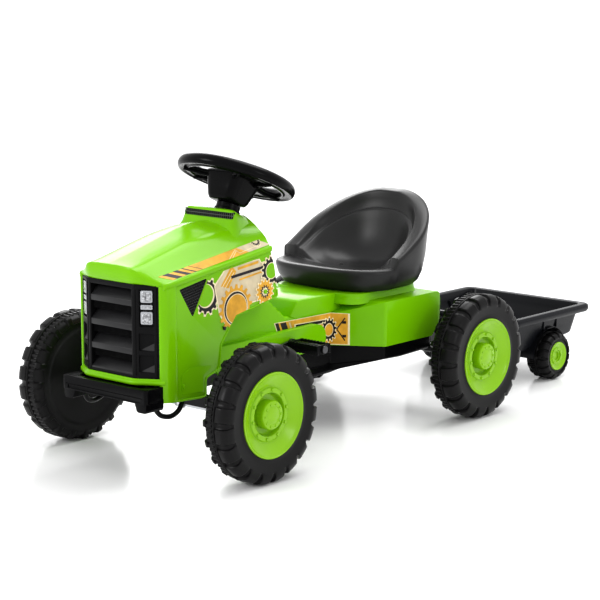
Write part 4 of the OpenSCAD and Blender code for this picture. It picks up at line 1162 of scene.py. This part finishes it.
def make_ledge_print(name, side):
    """Striped strip on the sloping ledge of the hood."""
    def place(u, v, lift):
        """u runs 0 to 1 from front to rear, v 0 to 1 down the slope, along the ledge's stations."""
        y = LEDGE_TOP[1][1] + u * (LEDGE_TOP[-1][1] - 4 - LEDGE_TOP[1][1])

        def on_line(line):
            for a, b in zip(line[1:], line[2:]):
                if y <= b[1] or b is line[-1]:
                    return Vector(between(a, b, (y - a[1]) / (b[1] - a[1])))
        top, low = on_line(LEDGE_TOP), on_line(LEDGE_LOW)
        low.y = top.y = y
        p = top + (low - top) * (0.06 + 0.80 * v)
        out = Vector((low.z - top.z, 0, top.x - low.x)).normalized()
        if out.z < 0:
            out = -out
        return p + out * lift

    def stripe(form, mark, u0, u1, v0=0.0, v1=1.0, lean=0.0, level=0):
        cells = max(1, int((u1 - u0) * 40))
        lift = 0.45 + 0.1 * level
        rows = []
        for k in range(cells + 1):
            u = u0 + (u1 - u0) * k / cells
            rows.append([place(u + lean * v, v, h)
                         for v, h in ((v0, -0.4), (v1, -0.4), (v1, lift), (v0, lift))])
        form.add(grid(rows, ring=True, caps=True), mark)
    form = Form()
    stripe(form, ORANGE, 0.0, 0.72, lean=0.075)
    stripe(form, PEACH, 0.72, 0.93, lean=0.07)
    for u0, u1 in ((0.035, 0.085), (0.125, 0.165), (0.20, 0.215), (0.265, 0.272)):
        stripe(form, INK, u0, u1, lean=0.075, level=1)
    # thin lines of the sticker's drawing
    steps = 6
    for a, b in (((0.60, 1.0), (0.70, 0.15)), ((0.63, 1.0), (0.70, 0.35)),
                 ((0.70, 0.15), (0.715, 0.75)), ((0.715, 0.75), (0.90, 0.60))):
        line = [place(a[0] + (b[0] - a[0]) * k / steps, a[1] + (b[1] - a[1]) * k / steps, 0.35)
                for k in range(steps + 1)]
        form.add(tube(line, 0.55, 6), CREAM)
    # half gear at the rear end
    teeth = 9
    for outer, inner, mark, level in ((0.085, 0.070, CREAM, 2), (0.073, 0.058, INK, 3),
                                      (0.040, 0.040, PEACH, 4)):
        outline = []
        for i in range(teeth):
            for t, r in ((0.1, inner), (0.25, outer), (0.6, outer), (0.75, inner)):
                a = math.pi * (i + t) / teeth
                outline.append((0.90 + 0.92 * r * math.cos(a) * 0.6, r * math.sin(a) * 9.5))
        rows = [[place(u, min(v, 0.98), lift) for u, v in outline]
                for lift in (-0.4, 0.45 + 0.1 * level)]
        form.add(grid(rows, ring=True, caps=True), mark)
    decal = make(f"ledge_print_{name}", form, FRONT @ on_side(side))
    finish_piece(decal, "chassis", PRINT, angle=20)


def make_tunnel_print(name, side):
    """Orange sticker on the tunnel's side: slanted stripes, gear and arrow, and no lettering."""
    low = 158
    ground = [(229, 223.5), (258, low), (448, low), (448, 220)]
    layers = [
        (CREAM, ground), (ORANGE, [(236, 222), (262, low + 1.5), (442, low + 1.5), (442, 219)]),
        (INK, [(232, 222.6), (241, 222.4), (266, low + 1), (258.5, low + 1)]),
        (INK, [(246, 221), (262, 221), (280, 182), (264, 182)]),
        (PEACH, [(270, 219), (274, 219), (290, 184), (286, 184)]),
        (CREAM, bar((286, 209), (384, 206), 9)), (INK, bar((290, 209), (380, 206.2), 5.5)),
        (CREAM, bar((300, 195), (372, 193), 5)), (PEACH, bar((303, 195), (369, 193), 2.6)),
        (CREAM, gear(386, 188, 26, 21, 14)), (INK, gear(386, 188, 23, 18, 14)),
        (CREAM, circle(386, 188, 13)), (ORANGE, circle(386, 188, 11.4)),
        (INK, bar((433, 211), (409, 189), 2.4)), (INK, bar((409, 189), (433, 167), 2.4)),
        (INK, [(424, 200), (436, 200), (436, 205), (429, 205)]),
        (INK, [(424, 178), (436, 178), (436, 173), (429, 173)]),
    ]
    sticker = make(f"tunnel_print_{name}", layered(layers, 60.0, 0.05, on_side(side)))
    # the sticker bends round the corner where the tunnel widens into the deck
    corner, run, out = 392, 0.358, 0.565
    work = bmesh.new()
    work.from_mesh(sticker.data)
    bmesh.ops.bisect_plane(work, geom=work.verts[:] + work.edges[:] + work.faces[:], dist=1e-6,
                           plane_co=FRONT @ Vector((0, corner, 0)), plane_no=(0, 1, 0))
    back = FRONT.inverted()
    for vert in work.verts:
        p = back @ vert.co
        past = max(p.y - corner, 0)
        vert.co = FRONT @ Vector((p.x + side * out * past, p.y - past + run * past, p.z))
    work.to_mesh(sticker.data)
    work.free()
    finish_piece(sticker, "chassis", PRINT, angle=20)


# ---------- CAD nodes that stay ----------

KEPT = {
    "frame_paint": (paint, ["main_frame", "front_axle_beam", "column_bracket", "rear_spacers",
                            "hitch_bracket", "drawbar"]),
    "dark_steel": (dark_steel, ["crankset", "chainring", "drive_chain", "rear_sprocket"]),
    "steel": (steel, ["knuckle_left", "knuckle_right", "kingpin_left", "kingpin_right", "tie_rod",
                      "steering_column", "rear_axle", "tow_pin", "pin_clip", "trailer_axle",
                      "seat_bolts"]),
    "green_plastic": (green, ["body_screws"]),
    "bush_plastic": (nylon, ["crank_bushes", "axle_bushes"]),
    "black_plastic": (matt_black, ["chain_guard", "wheel_cap"]),
}


def dress_kept_nodes():
    for material, names in KEPT.values():
        for name in names:
            thing = frame["nodes"][name]
            if not thing.material_slots:
                thing.data.materials.append(material)
            for slot in thing.material_slots:
                slot.material = material


# ---------- stage ----------

FLOOR_REACH = 40
WORLD_STRENGTH = 1.05
# name, place, target, size, power: metres and watts
LIGHTS = (("overhead", (0.1, 0.9, 2.7), (0, 0, 0.2), 2.0, 46),
          ("back", (-2.6, 2.3, 2.2), (0, -0.2, 0.35), 2.4, 46),
          ("front", (-1.4, -3.4, 1.7), (0, -0.3, 0.3), 1.2, 34),
          ("side", (3.4, -0.4, 1.3), (0, 0, 0.2), 0.9, 9))
CAMERA_AT = (2.387, -2.851, 0.899)
CAMERA_TURN, CAMERA_RISE = math.radians(41.26), math.radians(10.30)
CAMERA_LENS, CAMERA_SENSOR = 114, 36


def placed(name, data, at=(0, 0, 0), look=None):
    """A new object, turned so that its -Z axis points along look."""
    thing = bpy.data.objects.new(name, data)
    bpy.context.scene.collection.objects.link(thing)
    thing.location = at
    if look:
        thing.rotation_euler = look.to_track_quat("-Z", "Y").to_euler()
    return thing


def make_stage():
    mesh = bpy.data.meshes.new("floor")
    corners = oblong(-FLOOR_REACH, FLOOR_REACH, -FLOOR_REACH, FLOOR_REACH)
    mesh.from_pydata([(x, y, 0) for x, y in corners], [], [(0, 1, 2, 3)])
    floor = placed("floor", mesh)
    mesh.materials.append(plastic("floor_white", (0.90, 0.90, 0.90), 0.16, shade=0.01, blotch=1.0,
                                  depth=0.0, specular=0.35))
    world = bpy.data.worlds.new("studio")
    bpy.context.scene.world = world
    world.use_nodes = True
    world.node_tree.nodes["Background"].inputs["Color"].default_value = (1, 1, 1, 1)
    world.node_tree.nodes["Background"].inputs["Strength"].default_value = WORLD_STRENGTH
    for name, at, target, size, power in LIGHTS:
        data = bpy.data.lights.new(name, "AREA")
        data.shape, data.size, data.energy = "DISK", size, power
        placed(name, data, at, Vector(target) - Vector(at))
    bpy.context.scene.view_settings.view_transform = "Standard"
    bpy.context.scene.view_settings.look = "Medium High Contrast"


def make_camera():
    data = bpy.data.cameras.new("camera")
    data.lens, data.sensor_width, data.clip_end = CAMERA_LENS, CAMERA_SENSOR, 200
    flat = math.cos(CAMERA_RISE)
    look = Vector((-math.sin(CAMERA_TURN) * flat, math.cos(CAMERA_TURN) * flat,
                   -math.sin(CAMERA_RISE)))
    bpy.context.scene.camera = placed("camera", data, CAMERA_AT, look)


make_camera()
make_stage()
dress_kept_nodes()
for name, side in SIDES:
    make_wheel("front", name, side, f"front_{name}_wheel")
    make_wheel("rear", name, side, "rear_left_wheel" if side == LEFT else "rear_axle")
    make_small_wheel(name, side)
    make_side_vent(name, side)
    make_lamp(name, side)
    make_pedal(name, side)
    make_side_print(name, side)
    make_ledge_print(name, side)
    make_tunnel_print(name, side)
make_hood()
make_scoop()
make_grille()
make_bumper()
make_body()
make_tray()
make_seat()
make_steering_wheel()
make_tub()
